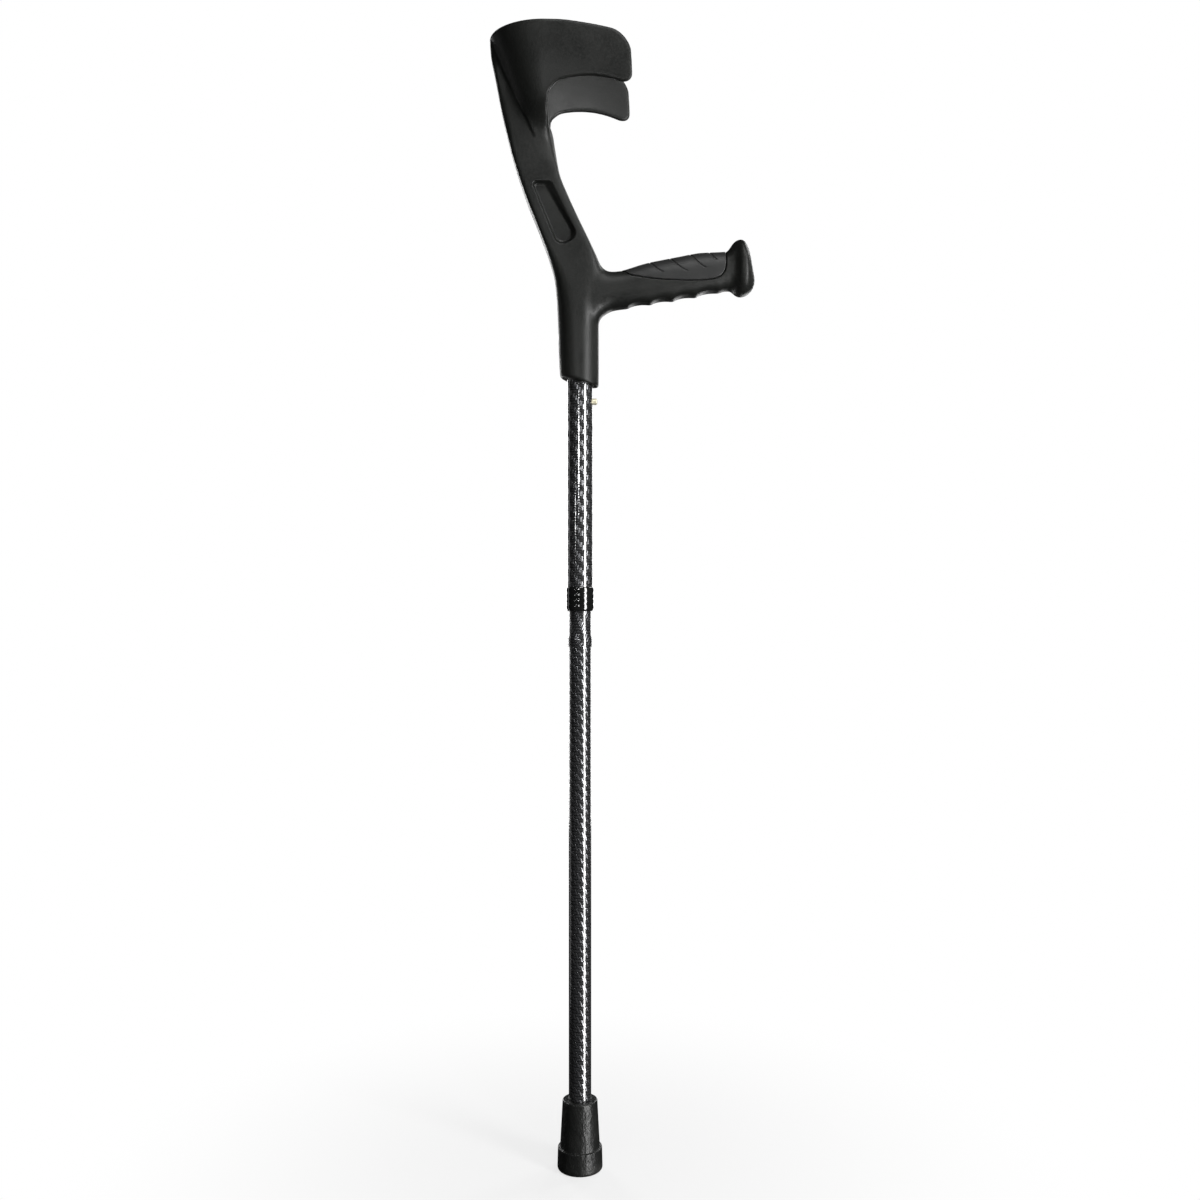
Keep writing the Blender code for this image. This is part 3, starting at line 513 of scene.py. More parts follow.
class Paint:
    """A new material: its Principled shader, and the nodes that feed the shader."""

    def __init__(self, name, metallic=0.0):
        self.material = bpy.data.materials.new(name)
        self.material.use_nodes = True
        self.tree = self.material.node_tree
        self.shader = self.tree.nodes["Principled BSDF"]
        self.shader.inputs["Metallic"].default_value = metallic
        self.place = self.node("TexCoord", "Object")

    def feed(self, socket, value):
        """Links an output to the socket, or sets the socket to a plain value."""
        if isinstance(value, bpy.types.NodeSocket):
            self.tree.links.new(value, socket)
        elif socket.type == "RGBA":
            socket.default_value = (*value, 1.0)
        else:
            socket.default_value = value

    def set(self, socket, value):
        """Feeds one of the shader's own sockets."""
        self.feed(self.shader.inputs[socket], value)

    def node(self, kind, output, inputs=None, **settings):
        """One output of a new node, with the node's settings made and its inputs fed."""
        made = self.tree.nodes.new("ShaderNode" + kind)
        for name, value in settings.items():
            setattr(made, name, value)
        for key, value in (inputs or {}).items():
            if value is not None:
                self.feed(made.inputs[key], value)
        return made.outputs[output]

    def calc(self, operation, a, b=None, c=None):
        return self.node("Math", 0, {0: a, 1: b, 2: c}, operation=operation)

    def times(self, a, b):
        return self.calc("MULTIPLY", a, b)

    def plus(self, a, b):
        return self.calc("ADD", a, b)

    def minus(self, a, b):
        return self.calc("SUBTRACT", a, b)

    def stretch(self, value, low, high, to_low=0.0, to_high=1.0):
        """The value eased from one range to another, clamped at both ends."""
        ranges = {"From Min": low, "From Max": high, "To Min": to_low, "To Max": to_high}
        return self.node("MapRange", "Result", {"Value": value, **ranges}, interpolation_type="SMOOTHSTEP")

    def blend(self, share, a, b):
        """A mix of two colours, which are the Mix node's inputs 6 and 7 and its output 2."""
        return self.node("Mix", 2, {"Factor": share, 6: a, 7: b}, data_type="RGBA")

    def axes(self):
        """The point's place on its own object in metres, as x, y and z."""
        return [self.node("SeparateXYZ", axis, {0: self.place}) for axis in "XYZ"]

    def scaled(self, *factors):
        """The point's place, stretched by a factor along each axis."""
        return self.node("VectorMath", 0, {0: self.place, 1: factors}, operation="MULTIPLY")

    def noise(self, scale, detail=2.0, roughness=0.5, at=None):
        where = self.place if at is None else at
        sizes = {"Scale": scale, "Detail": detail, "Roughness": roughness}
        return self.node("TexNoise", 0, {"Vector": where, **sizes})

    def grain(self, scale):
        """Small round pits: the distance to the middle of the nearest of many scattered cells."""
        return self.node("TexVoronoi", "Distance", {"Vector": self.place, "Scale": scale})

    def bump(self, height, strength, distance, under=None):
        sizes = {"Strength": strength, "Distance": distance}
        return self.node("Bump", 0, {"Height": height, "Normal": under, **sizes})


# ---- materials


def moulded_plastic():
    """Black moulded plastic with a fine spark-eroded grain, rubbed a little shinier on its edges."""
    paint = Paint("moulded_plastic")
    cloud = paint.noise(26.0, 3.0, 0.55)
    fine = paint.noise(620.0, 3.0, 0.65)
    worn = paint.stretch(paint.node("NewGeometry", "Pointiness"), 0.53, 0.60)
    tone = paint.blend(paint.stretch(cloud, 0.35, 0.65), (0.0098, 0.0106, 0.0096), (0.0142, 0.0150, 0.0136))
    tone = paint.blend(paint.stretch(fine, 0.42, 0.72, 0.0, 0.45), tone, (0.024, 0.025, 0.023))
    tone = paint.blend(paint.times(worn, 0.35), tone, (0.040, 0.041, 0.038))
    paint.set("Base Color", tone)
    rough = paint.plus(paint.stretch(cloud, 0.3, 0.7, 0.36, 0.46), paint.stretch(fine, 0.3, 0.7, -0.05, 0.07))
    paint.set("Roughness", paint.minus(rough, paint.times(worn, 0.08)))
    swell = paint.bump(paint.noise(120.0, 2.0, 0.5), 0.10, 0.0004)
    paint.set("Normal", paint.bump(paint.grain(1700.0), 0.32, 0.00012, swell))
    paint.set("Specular IOR Level", 0.42)
    return paint.material


def soft_grip():
    """Black thermoplastic elastomer: duller and a shade lighter than the moulding, with a fine matt bloom."""
    paint = Paint("soft_grip")
    cloud = paint.stretch(paint.noise(60.0, 3.0, 0.6), 0.3, 0.7)
    paint.set("Base Color", paint.blend(cloud, (0.0175, 0.0180, 0.0178), (0.0250, 0.0255, 0.0250)))
    paint.set("Roughness", paint.stretch(paint.noise(1500.0, 2.0, 0.6), 0.3, 0.7, 0.42, 0.54))
    swell = paint.bump(paint.noise(300.0, 2.0, 0.5), 0.08, 0.0003)
    paint.set("Normal", paint.bump(paint.grain(2400.0), 0.3, 0.00008, swell))
    paint.set("Sheen Weight", 0.06)
    paint.set("Sheen Roughness", 0.5)
    return paint.material


def twill_print(name, around, along, lean):
    """A printed 2 by 2 twill with silver tows under a clear glossy film, wrapped round a tube.

    around is the number of tows in a turn, along the height of one row of tows in millimetres, and
    lean how far the print slips round the tube, in tows, for each row that it rises.
    """
    paint = Paint(name)
    x, y, z = paint.axes()
    turn = paint.calc("ARCTAN2", y, x)
    wander = paint.times(paint.minus(paint.noise(1.0, 2.0, 0.5, paint.scaled(45.0, 45.0, 30.0)), 0.5), 0.2)
    v = paint.plus(paint.calc("DIVIDE", z, along * MM), wander)
    u = paint.calc("MULTIPLY_ADD", turn, around / (2 * math.pi), paint.times(v, lean))
    column = paint.calc("FLOOR", u)
    row = paint.calc("FLOOR", v)

    def crown(value, middle, half):
        """1 on the middle of a tow, falling to 0 at half on each side."""
        off = paint.calc("DIVIDE", paint.minus(value, middle), half)
        return paint.minus(1.0, paint.times(off, off))

    def tow(across, along_it, middle, strands):
        """The relief and the strands of a tow that floats over two others and dives under two."""
        ends = paint.stretch(crown(along_it, middle, 1.0), 0.0, 0.45)
        point = paint.node("CombineXYZ", 0, dict(enumerate(strands)))
        return paint.times(crown(across, 0.5, 0.5), ends), paint.noise(1.0, 1.0, 0.5, point)

    rise = paint.calc("FLOORED_MODULO", paint.plus(v, column), 4.0)
    run = paint.calc("FLOORED_MODULO", paint.plus(u, row), 4.0)
    upright = paint.calc("LESS_THAN", rise, 2.0)
    level = paint.minus(1.0, upright)
    tow_up = tow(paint.minus(u, column), rise, 1.0, (paint.times(u, 3.0), paint.times(v, 0.4), 0.0))
    tow_level = tow(paint.minus(v, row), run, 3.0, (paint.times(u, 0.4), paint.times(v, 3.0), 7.0))
    relief, streak = (
        paint.plus(paint.times(upright, a), paint.times(level, b)) for a, b in zip(tow_up, tow_level)
    )
    ink = paint.times(paint.stretch(relief, 0.1, 0.8), paint.stretch(streak, 0.30, 0.62, 0.85, 1.0))
    ink = paint.times(ink, paint.calc("MULTIPLY_ADD", upright, 0.9, 0.1))
    paint.set("Base Color", paint.blend(ink, (0.0042, 0.0045, 0.0048), (0.34, 0.344, 0.36)))
    paint.set("Metallic", paint.stretch(ink, 0.05, 0.5, 0.0, 0.95))
    paint.set("Roughness", paint.stretch(streak, 0.3, 0.7, 0.28, 0.36))
    paint.set("Normal", paint.bump(relief, 1.0, 0.00018))
    paint.set("Specular IOR Level", 0.3)
    paint.set("Coat Weight", 1.0)
    paint.set("Coat Roughness", 0.06)
    paint.set("Coat IOR", 2.1)
    film = paint.bump(paint.noise(200.0, 1.0, 0.5, paint.scaled(1.0, 1.0, 0.3)), 0.08, 0.0002)
    paint.set("Coat Normal", paint.bump(relief, 1.0, 0.000015, film))
    return paint.material


def gloss_plastic():
    """Polished black plastic under a clear skin, with fine rub marks round the collar."""
    paint = Paint("gloss_plastic")
    cloud = paint.noise(90.0, 3.0, 0.6)
    tone = paint.blend(paint.stretch(cloud, 0.3, 0.7), (0.0065, 0.0068, 0.0066), (0.0105, 0.0108, 0.0105))
    paint.set("Base Color", tone)
    rub = paint.noise(1.0, 2.0, 0.6, paint.scaled(900.0, 900.0, 60.0))
    paint.set("Roughness", paint.stretch(rub, 0.35, 0.75, 0.13, 0.27))
    paint.set("Normal", paint.bump(rub, 0.10, 0.00005, paint.bump(cloud, 0.1, 0.0003)))
    paint.set("Coat Weight", 1.0)
    paint.set("Coat Roughness", 0.08)
    paint.set("Coat IOR", 1.9)
    return paint.material


def tip_rubber():
    """Black rubber with a soft bloom, dustier towards the floor."""
    paint = Paint("tip_rubber")
    height = paint.axes()[2]
    cloud = paint.noise(70.0, 4.0, 0.6)
    dust = paint.times(paint.stretch(height, 0.0, 0.012, 1.0, 0.0), paint.stretch(cloud, 0.4, 0.7))
    tone = paint.blend(paint.stretch(cloud, 0.3, 0.7), (0.0105, 0.0110, 0.0105), (0.0165, 0.0170, 0.0162))
    paint.set("Base Color", paint.blend(paint.times(dust, 0.5), tone, (0.045, 0.044, 0.041)))
    fine = paint.noise(1100.0, 2.0, 0.6)
    paint.set("Roughness", paint.plus(paint.stretch(fine, 0.3, 0.7, 0.30, 0.42), paint.times(dust, 0.2)))
    swell = paint.bump(paint.noise(300.0, 3.0, 0.6, paint.scaled(1.0, 1.0, 0.6)), 0.9, 0.0008)
    paint.set("Normal", paint.bump(fine, 0.22, 0.00008, swell))
    return paint.material


def machined_metal(name, dark, light, roughness, lines, along="Z", metallic=1.0):
    """Bare or plated metal: lines sets how fast the fine marks repeat across the axis."""
    paint = Paint(name, metallic)
    stretched = lines * 0.03
    factors = {"Z": (lines, lines, stretched), "X": (stretched, lines, lines)}[along]
    marks = paint.noise(1.0, 3.0, 0.6, paint.scaled(*factors))
    cloud = paint.stretch(paint.noise(180.0, 3.0, 0.6), 0.3, 0.7)
    paint.set("Base Color", paint.blend(cloud, dark, light))
    paint.set("Roughness", paint.plus(paint.stretch(marks, 0.3, 0.7, -0.06, 0.10), roughness))
    paint.set("Normal", paint.bump(marks, 0.2, 0.00004))
    return paint.material


def grey_nylon():
    """Natural grey nylon with a faint matt grain."""
    paint = Paint("grey_nylon")
    cloud = paint.stretch(paint.noise(150.0, 3.0, 0.6), 0.3, 0.7)
    paint.set("Base Color", paint.blend(cloud, (0.24, 0.24, 0.25), (0.33, 0.33, 0.34)))
    fine = paint.noise(1500.0, 2.0)
    paint.set("Roughness", paint.stretch(fine, 0.3, 0.7, 0.42, 0.56))
    paint.set("Normal", paint.bump(fine, 0.2, 0.00006))
    return paint.material


def braided_cover():
    """The textile cover of the elastic cord: strands crossing in two hands round the cord."""
    strand_pitch = 0.0045
    paint = Paint("braided_cover")
    x, y, z = paint.axes()
    turn = paint.calc("ARCTAN2", y, x)
    climb = paint.times(z, 2 * math.pi / strand_pitch)
    right = paint.calc("SINE", paint.calc("MULTIPLY_ADD", turn, 6.0, climb))
    left = paint.calc("SINE", paint.minus(paint.times(turn, 6.0), climb))
    strands = paint.calc("MAXIMUM", right, left)
    tone = paint.blend(paint.stretch(strands, -0.2, 1.0), (0.22, 0.22, 0.21), (0.62, 0.62, 0.60))
    tracer = paint.times(paint.stretch(right, 0.85, 0.98), 0.7)
    paint.set("Base Color", paint.blend(tracer, tone, (0.03, 0.03, 0.035)))
    fibre = paint.noise(4000.0, 2.0)
    paint.set("Roughness", paint.stretch(fibre, 0.3, 0.7, 0.7, 0.9))
    paint.set("Normal", paint.bump(fibre, 0.3, 0.00005, paint.bump(strands, 0.8, 0.0002)))
    return paint.material


# ---- handle


def squared_ring(centre, half_a, half_b, squareness, count):
    """Points of a superellipse about a centre, in its own two directions."""
    ring = []
    for k in range(count):
        turn = 2 * math.pi * (k + 0.5) / count
        c = math.cos(turn)
        s = math.sin(turn)
        a = math.copysign(abs(c) ** (2 / squareness), c)
        b = math.copysign(abs(s) ** (2 / squareness), s)
        ring.append((centre + half_a * a, half_b * b))
    return ring


def spine_body(count=96, step=2.5):
    """Socket, neck and spine in level sections, the lowest few tilted to the socket's slanted end."""
    rings = []
    for inset, rise in SOCKET_EDGE:
        half_depth = SOCKET_HALF_DEPTH - inset
        ring = []
        for x, y in squared_ring(SOCKET_CENTRE, half_depth, SOCKET_HALF_WIDTH - inset, 2.0, count):
            ring.append((x, y, SOCKET_CUT_Z + rise - SOCKET_CUT_SLOPE * x))
        rings.append(ring)
    top = SPINE_BACK[-1][0]
    for z in spread(SPINE_FIRST_Z, top, round((top - SPINE_FIRST_Z) / step)):
        back = smooth_value(SPINE_BACK, z)
        front = smooth_value(SPINE_FRONT, z)
        half = smooth_value(SPINE_HALF_WIDTH, z)
        square = smooth_value(SPINE_SQUARENESS, z)
        tilted = (SOCKET_LEVEL_Z - z) / (SOCKET_LEVEL_Z - SOCKET_TILTED_Z)
        tilt = SOCKET_CUT_SLOPE * max(0.0, min(1.0, tilted))
        ring = []
        for x, y in squared_ring((back + front) / 2, (front - back) / 2, half, square, count):
            ring.append((x, y, z - tilt * x))
        rings.append(ring)
    return loft("spine", rings)


def finger_groove(x):
    """How deep the finger grooves cut the underside here: four hollows that meet in ridges."""
    turn = (x - FINGER_FIRST) / FINGER_PITCH
    if not 0 < turn < FINGER_COUNT:
        return 0.0
    return FINGER_DEPTH * math.sin(math.pi * (turn % 1) ** FINGER_LEAN)


def grip_body(name, inset=0.0, count=96):
    """The hand grip in upright sections, pulled in all round by an inset."""
    stop = GRIP_TOP_LINE[-1][0] if inset < 1 else GRIP_CORE_X
    places = spread(GRIP_START_X, GRIP_FLANGE_X - 1, 110)
    places += spread(GRIP_FLANGE_X, min(stop, GRIP_DOME_X), 26)
    if stop > GRIP_DOME_X:
        places += [*GRIP_DOME_STEPS, stop]
    rings = []
    for x in places:
        top = smooth_value(GRIP_TOP_LINE, x) - inset
        bottom = smooth_value(GRIP_BOTTOM_LINE, x) + inset
        half = smooth_value(GRIP_HALF_WIDTH, x) - inset
        rise = (top - bottom) / 2
        ring = []
        for y, z in squared_ring(0.0, half, rise, GRIP_SQUARENESS, count):
            groove = finger_groove(x) * max(0.0, -z / rise) ** 6
            ring.append((x, y, (top + bottom) / 2 + z + groove))
        rings.append(ring)
    return loft(name, rings)


def cuff_top(x):
    """Height of the cuff's upper rim."""
    rim = smooth_value(CUFF_RIM, x)
    over = x - (CUFF_TIP_X - CUFF_TIP_TOP_R)
    if over > 0:
        rim -= CUFF_TIP_TOP_R - math.sqrt(max(0.0, CUFF_TIP_TOP_R**2 - over**2))
    return rim


def cuff_low(x):
    """Height of the arms' lower edge, down to the crotch where they leave the neck."""
    edge = CUFF_LOW_PEAK[1] - CUFF_LOW_BOW * (x - CUFF_LOW_PEAK[0]) ** 2
    over = x - (CUFF_TIP_X - CUFF_TIP_LOW_R)
    if over > 0:
        edge += CUFF_TIP_LOW_R - math.sqrt(max(0.0, CUFF_TIP_LOW_R**2 - over**2))
    under = CUFF_CENTRE[-1][1] + CUFF_CROTCH_R - 0.5 - x
    if under > 0:
        edge -= CUFF_CROTCH_R - math.sqrt(max(0.0, CUFF_CROTCH_R**2 - under**2))
    return edge


def cuff_back(z):
    """The shell's rearmost point at this height."""
    return CUFF_BACK_TOP[1] + CUFF_BACK_LEAN * (CUFF_BACK_TOP[0] - z)


def cuff_point(u, z, inset):
    """A point of the shell: u is 0 at the back, 1 where the arm starts and 2 at its tip."""
    half = smooth_value(CUFF_HALF_WIDTH, z) - inset
    centre = smooth_value(CUFF_CENTRE, z)
    if u <= 1:
        depth = centre - cuff_back(z) - inset
        turn = u * math.pi / 2
        return (centre - depth * math.cos(turn), half * math.sin(turn), z)
    along = u - 1
    tip = CUFF_TIP_X - CUFF_TIP_LEAN * (z - CUFF_TIP_Z)
    flare = (CUFF_TIP_HALF_WIDTH - inset - half) * along**CUFF_FLARE
    return (centre + along * (tip - centre), half + flare, z)


def rim_path():
    """The way round the shell's section, as (height share, wall share, bulge past the edge)."""
    heights = spread(0.0, 1.0, 18)
    arc = [(0.5 - 0.5 * math.cos(t), CUFF_RIM_BULGE * math.sin(t)) for t in spread(0.0, math.pi, 9)][1:-1]
    path = [(v, 0.0, 0.0) for v in heights]
    path += [(1.0, share, bulge) for share, bulge in arc]
    path += [(v, 1.0, 0.0) for v in reversed(heights)]
    path += [(0.0, 1.0 - share, -bulge) for share, bulge in arc]
    return path


def cuff_strip(hand, u, path):
    """The shell's section at u, on the side given by hand."""
    forward = cuff_point(u, CUFF_TIP_Z, 0.0)[0]
    low = cuff_low(forward)
    high = cuff_top(forward)
    if u < 1:
        crotch = cuff_low(CUFF_CENTRE[-1][1])
        low = CUFF_ROOT_Z + (crotch - CUFF_ROOT_Z) * max(0.0, (u - CUFF_ROOT_U) / (1 - CUFF_ROOT_U))
    flat = CUFF_ROOT_BULGE if CUFF_ROOT_U < u < CUFF_CROTCH_U else 1.0
    past = max(0.0, (u - CUFF_THINNING_U) / (2 - CUFF_THINNING_U))
    pinch = CUFF_THINNING * CUFF_WALL * (1 - math.sqrt(max(0.0, 1 - past**2)))
    strip = []
    for v, share, bulge in path:
        inset = pinch + share * (CUFF_WALL - 2 * pinch)
        x, y, z = cuff_point(u, low + v * (high - low), inset)
        strip.append((x, hand * y, z + (bulge * flat if v == 0.0 else bulge)))
    return strip


def cuff_shell():
    """The open C of the cuff: one wall of even thickness with a rounded rim and rounded tips."""
    steps = spread(0.0, 0.88, 30) + spread(0.90, 1.20, 24) + spread(1.22, 1.78, 24)
    steps += [1.80, 1.83, 1.86, 1.89, 1.915, 1.935, 1.955, 1.97, 1.982, 1.992, 1.998, 2.0]
    path = rim_path()
    strips = [cuff_strip(-1, u, path) for u in reversed(steps[1:])]
    strips += [cuff_strip(1, u, path) for u in steps]
    return loft("cuff", strips)


def scoop_fill():
    """The wedge that closes the foot of the cuff's funnel and forms its sloping, hollowed floor."""
    rings = []
    for z in spread(*SCOOP_RUN, 28):
        centre = smooth_value(CUFF_CENTRE, z)
        depth = centre - cuff_back(z) - CUFF_WALL / 2
        half = smooth_value(CUFF_HALF_WIDTH, z) - CUFF_WALL / 2
        floor = smooth_value(SCOOP_FLOOR, z)
        edge = min(floor + SCOOP_HOLLOW, centre - 0.1)
        widest = math.acos((centre - edge) / depth)
        ring = [(centre - depth * math.cos(t), half * math.sin(t)) for t in spread(-widest, widest, 41)]
        end = ring[-1][1]
        for share in spread(0.94, -0.94, 25):
            ring.append((floor + (edge - floor) * share**2, share * end))
        rings.append([(x, y, z) for x, y in ring])
    return loft("scoop", rings)


def neck_recess(hand):
    """The slot let into one side of the neck, its forward wall sloped and its floor's edge rounded."""
    bed = [Vector(p) for p in rounded(RECESS_BED, RECESS_CORNERS, 14)]
    mouth = [Vector(p) for p in rounded(RECESS_MOUTH, RECESS_CORNERS, 14)]
    middle = sum(bed, Vector((0, 0))) / len(bed)
    rings = []
    for share, shrink in RECESS_STEPS:
        ring = []
        for low, high in zip(bed, mouth):
            x, z = middle + (low.lerp(high, share) - middle) * shrink
            ring.append((x, hand * (RECESS_FLOOR + share * RECESS_DEPTH), z))
        rings.append(ring)
    return loft("recess", rings)


def smooth_border(line, count):
    """The pad's border drawn as a smooth line over its own length, then its upright end."""
    places = [0.0]
    for k in range(1, len(line)):
        places.append(places[-1] + math.dist(line[k - 1], line[k]))
    over_x = [(d, p[0]) for d, p in zip(places, line)]
    over_z = [(d, p[1]) for d, p in zip(places, line)]
    stops = spread(0.0, places[-2], count) + [places[-1]]
    return [(smooth_value(over_x, d), smooth_value(over_z, d)) for d in stops]


def pad_space(name, grown):
    """The space above the pad's border, right through the grip."""
    line = shifted(smooth_border(PAD_BORDER, 60), grown)
    outline = line + [(line[0][0], line[-1][1])]
    return loft(name, [[(x, y, z) for x, z in outline] for y in (-40, 40)])


def surface_of(piece):
    """A search tree over the piece's faces, in millimetres."""
    points = [tuple(p) for p in points_of(piece)]
    return BVHTree.FromPolygons(points, [tuple(f.vertices) for f in piece.data.polygons])


def junction_share(piece, first, second, reach):
    """For each vertex, how near it is to where two bodies meet: 1 on the line, falling to 0 at its reach."""
    co = points_of(piece)
    most = float(reach.max())
    apart = np.zeros(len(co))
    for tree in (first, second):
        for k, point in enumerate(co):
            if apart[k] < most:
                gap = tree.find_nearest(Vector(point), most)[3]
                apart[k] = max(apart[k], most if gap is None else gap)
    return ease(1 - apart / reach)


def press_crease(piece):
    """Raises the funnel's edge along the straight fold that runs down each side into the neck."""
    co = points_of(piece)
    start = np.array(CREASE[0])
    run = np.array(CREASE[1]) - start
    length = np.hypot(*run)
    run = run / length
    share = ((co[:, [X, Z]] - start) @ run) / length
    forward = (co[:, Z] - start[1]) * run[0] - (co[:, X] - start[0]) * run[1]
    rise = CREASE_HEIGHT * ramp(share, *CREASE_RISE) * ramp(share, *CREASE_FALL)
    rise *= ramp(forward, 0, CREASE_WIDTH) * ramp(forward, CREASE_WIDTH + CREASE_REACH, CREASE_WIDTH)
    rise *= ramp(abs(co[:, Y]), *CREASE_FLANK)
    co[:, Y] += np.sign(co[:, Y]) * rise
    set_points(piece, co)


def round_joins(body, shapes):
    """Evens out the lines where the handle's bodies meet, as far out as each line's reach."""
    _, across, height = points_of(body).T
    even = np.ones(len(height))
    flank = ramp(abs(across), *JOIN_FLANK)
    lower = flank * ramp(height, *JOIN_LOWER)
    upper = flank * ramp(height, *JOIN_UPPER) * ramp(height, *JOIN_RIM)
    for first, second, reach, share, rounds in (
        ("spine", "grip", 11.0 - 5.0 * ramp(height, *JOIN_OVER_GRIP), even, 30),
        ("scoop", "cuff", 5.0 * even, even, 40),
        ("spine", "scoop", 4.0 * even, even, 40),
        ("spine", "cuff", 4.0 + 13.0 * lower, lower, 170),
        ("spine", "cuff", 7.0 * even, upper, 60),
    ):
        near = junction_share(body, shapes[first], shapes[second], reach)
        relax(body, near * share, rounds)
    relax(body, even, 2)


def cut_handle(body):
    """Takes out the recesses, the tube's bore, the pad's pocket and the screw's seat."""
    for hand in (-1, 1):
        combine(body, neck_recess(hand))
    combine(body, rod("bore", UPPER_R + GAP, SOCKET_BORE_FROM, SOCKET_BORE_TOP, segments=128))
    pocket = pad_space("pocket", PAD_SEAM)
    combine(pocket, grip_body("core", PAD_SEAT))
    combine(body, pocket)
    centre = (0.0, 0.0, SCREW_Z)
    seat_end = SCREW_HEAD_X + SCREW_HEAD_HEIGHT + GAP
    combine(body, rod("seat", SCREW_R + GAP, -30, seat_end, centre, "X"))
    combine(body, rod("hole", SCREW_HOLE_R, *SCREW_HOLE_RUN, centre, "X"))


def build_handle(material):
    """The moulding: spine, grip and cuff in one, with soft joins and everything cut out of it."""
    body = spine_body()
    parts = (body, grip_body("grip"), scoop_fill(), cuff_shell())
    shapes = {part.name: surface_of(part) for part in parts}
    body.name = "handle_moulding"
    for part in parts[1:]:
        combine(body, part, "UNION")
    remesh(body, ROUGH_VOXEL)
    round_joins(body, shapes)
    press_crease(body)
    cut_handle(body)
    remesh(body, HANDLE_VOXEL)
    relax(body, np.ones(len(body.data.vertices)), 2)
    thin_out(body, HANDLE_TRIANGLES)
    finish(body, material, None, "handle", "moulding", "handle_body")


def vein_line(start, stop, low, count=40):
    """One slanted leaf vein as (x, z) points, from the crest of the pad down its flank."""
    crest = smooth_value(GRIP_TOP_LINE, start) + 1.0
    line = []
    for t in spread(0.0, 1.0, count):
        x = start + (stop - start) * t
        fall = 1 - (1 - t) ** VEIN_BOW
        line.append((x, crest + (low - crest) * fall))
    return line


def press_veins(pad):
    """Presses the veins into the outer skin of the pad as round-bottomed grooves that taper out."""
    co = points_of(pad)
    normals = np.zeros(co.size, np.float32)
    pad.data.vertices.foreach_get("normal", normals)
    normals = normals.reshape(-1, 3)
    x, y, z = co.T
    middle = [(smooth_value(GRIP_TOP_LINE, v) + smooth_value(GRIP_BOTTOM_LINE, v)) / 2 for v in x]
    outward = normals[:, Y] * y / 15.0 + normals[:, Z] * (z - np.array(middle)) / 20.0
    skin = ramp(outward, 0.1, 0.35)
    depth = np.zeros(len(co))
    for start, stop, low in VEINS:
        line = np.array(vein_line(start, stop, low))
        apart = np.hypot(x[:, None] - line[None, :, 0], z[:, None] - line[None, :, 1])
        along = apart.argmin(axis=1) / (len(line) - 1)
        taper = ramp(along, 1.0, VEIN_TAPER_FROM)
        half_width = VEIN_HALF_WIDTH * (0.55 + 0.45 * taper)
        groove = np.clip(1 - (apart.min(axis=1) / half_width) ** 2, 0, 1)
        depth = np.maximum(depth, VEIN_DEPTH * (0.25 + 0.75 * taper) * groove)
    co -= normals * (depth * skin)[:, None]
    set_points(pad, co)


def build_pad(material):
    """The soft pad let into the top of the grip."""
    pad = grip_body("grip_pad_soft", -PAD_PROUD)
    combine(pad, pad_space("area", 0.0), "INTERSECT")
    combine(pad, grip_body("core", PAD_THICKNESS))
    remesh(pad, PAD_VOXEL)
    relax(pad, np.ones(len(pad.data.vertices)), 3)
    press_veins(pad)
    thin_out(pad, PAD_TRIANGLES)
    finish(pad, material, None, "handle", "soft_grip", "grip_pad")


# ---- tubes and fittings


def fine_rings(profile, longest):
    """The profile with its long straight runs divided, so that the surface has even faces."""
    points = []
    count = len(profile)
    for k in range(count):
        a = profile[k]
        b = profile[(k + 1) % count]
        parts = max(1, math.ceil(math.dist(a, b) / longest))
        for i in range(parts):
            t = i / parts
            points.append((a[0] + (b[0] - a[0]) * t, a[1] + (b[1] - a[1]) * t))
    return points


def tube_profile(radius, low, high):
    """A plain tube's closed section with its end corners taken off."""
    bore = radius - TUBE_WALL
    profile = rounded([(radius, low), (radius, high), (bore, high), (bore, low)], [0.3] * 4, 4)
    return fine_rings(profile, RING_STEP)


def build_upper_tube(material):
    """The outer tube, with its row of button holes and the screw's hole."""
    body = lathe("upper_tube_print", tube_profile(UPPER_R, UPPER_BOTTOM, UPPER_TOP))
    mouth_r = HOLE_R + 0.5
    funnel = [
        (0, 5), (HOLE_R, 5), (HOLE_R, UPPER_R - 0.25), (HOLE_R + 0.12, UPPER_R - 0.05),
        (mouth_r, UPPER_R + 0.25), (mouth_r, 20), (0, 20),
    ]
    for k in range(HOLE_COUNT):
        centre = (0.0, 0.0, BUTTON_Z - k * HOLE_PITCH)
        combine(body, lathe("hole", funnel, centre, "X", 64))
    back = rod("back", SCREW_HOLE_R, *SCREW_HOLE_RUN, (0.0, 0.0, SCREW_Z), "X")
    combine(body, back)
    finish(body, material, TUBE_CREASE, "handle", "carbon_look", "upper_tube")


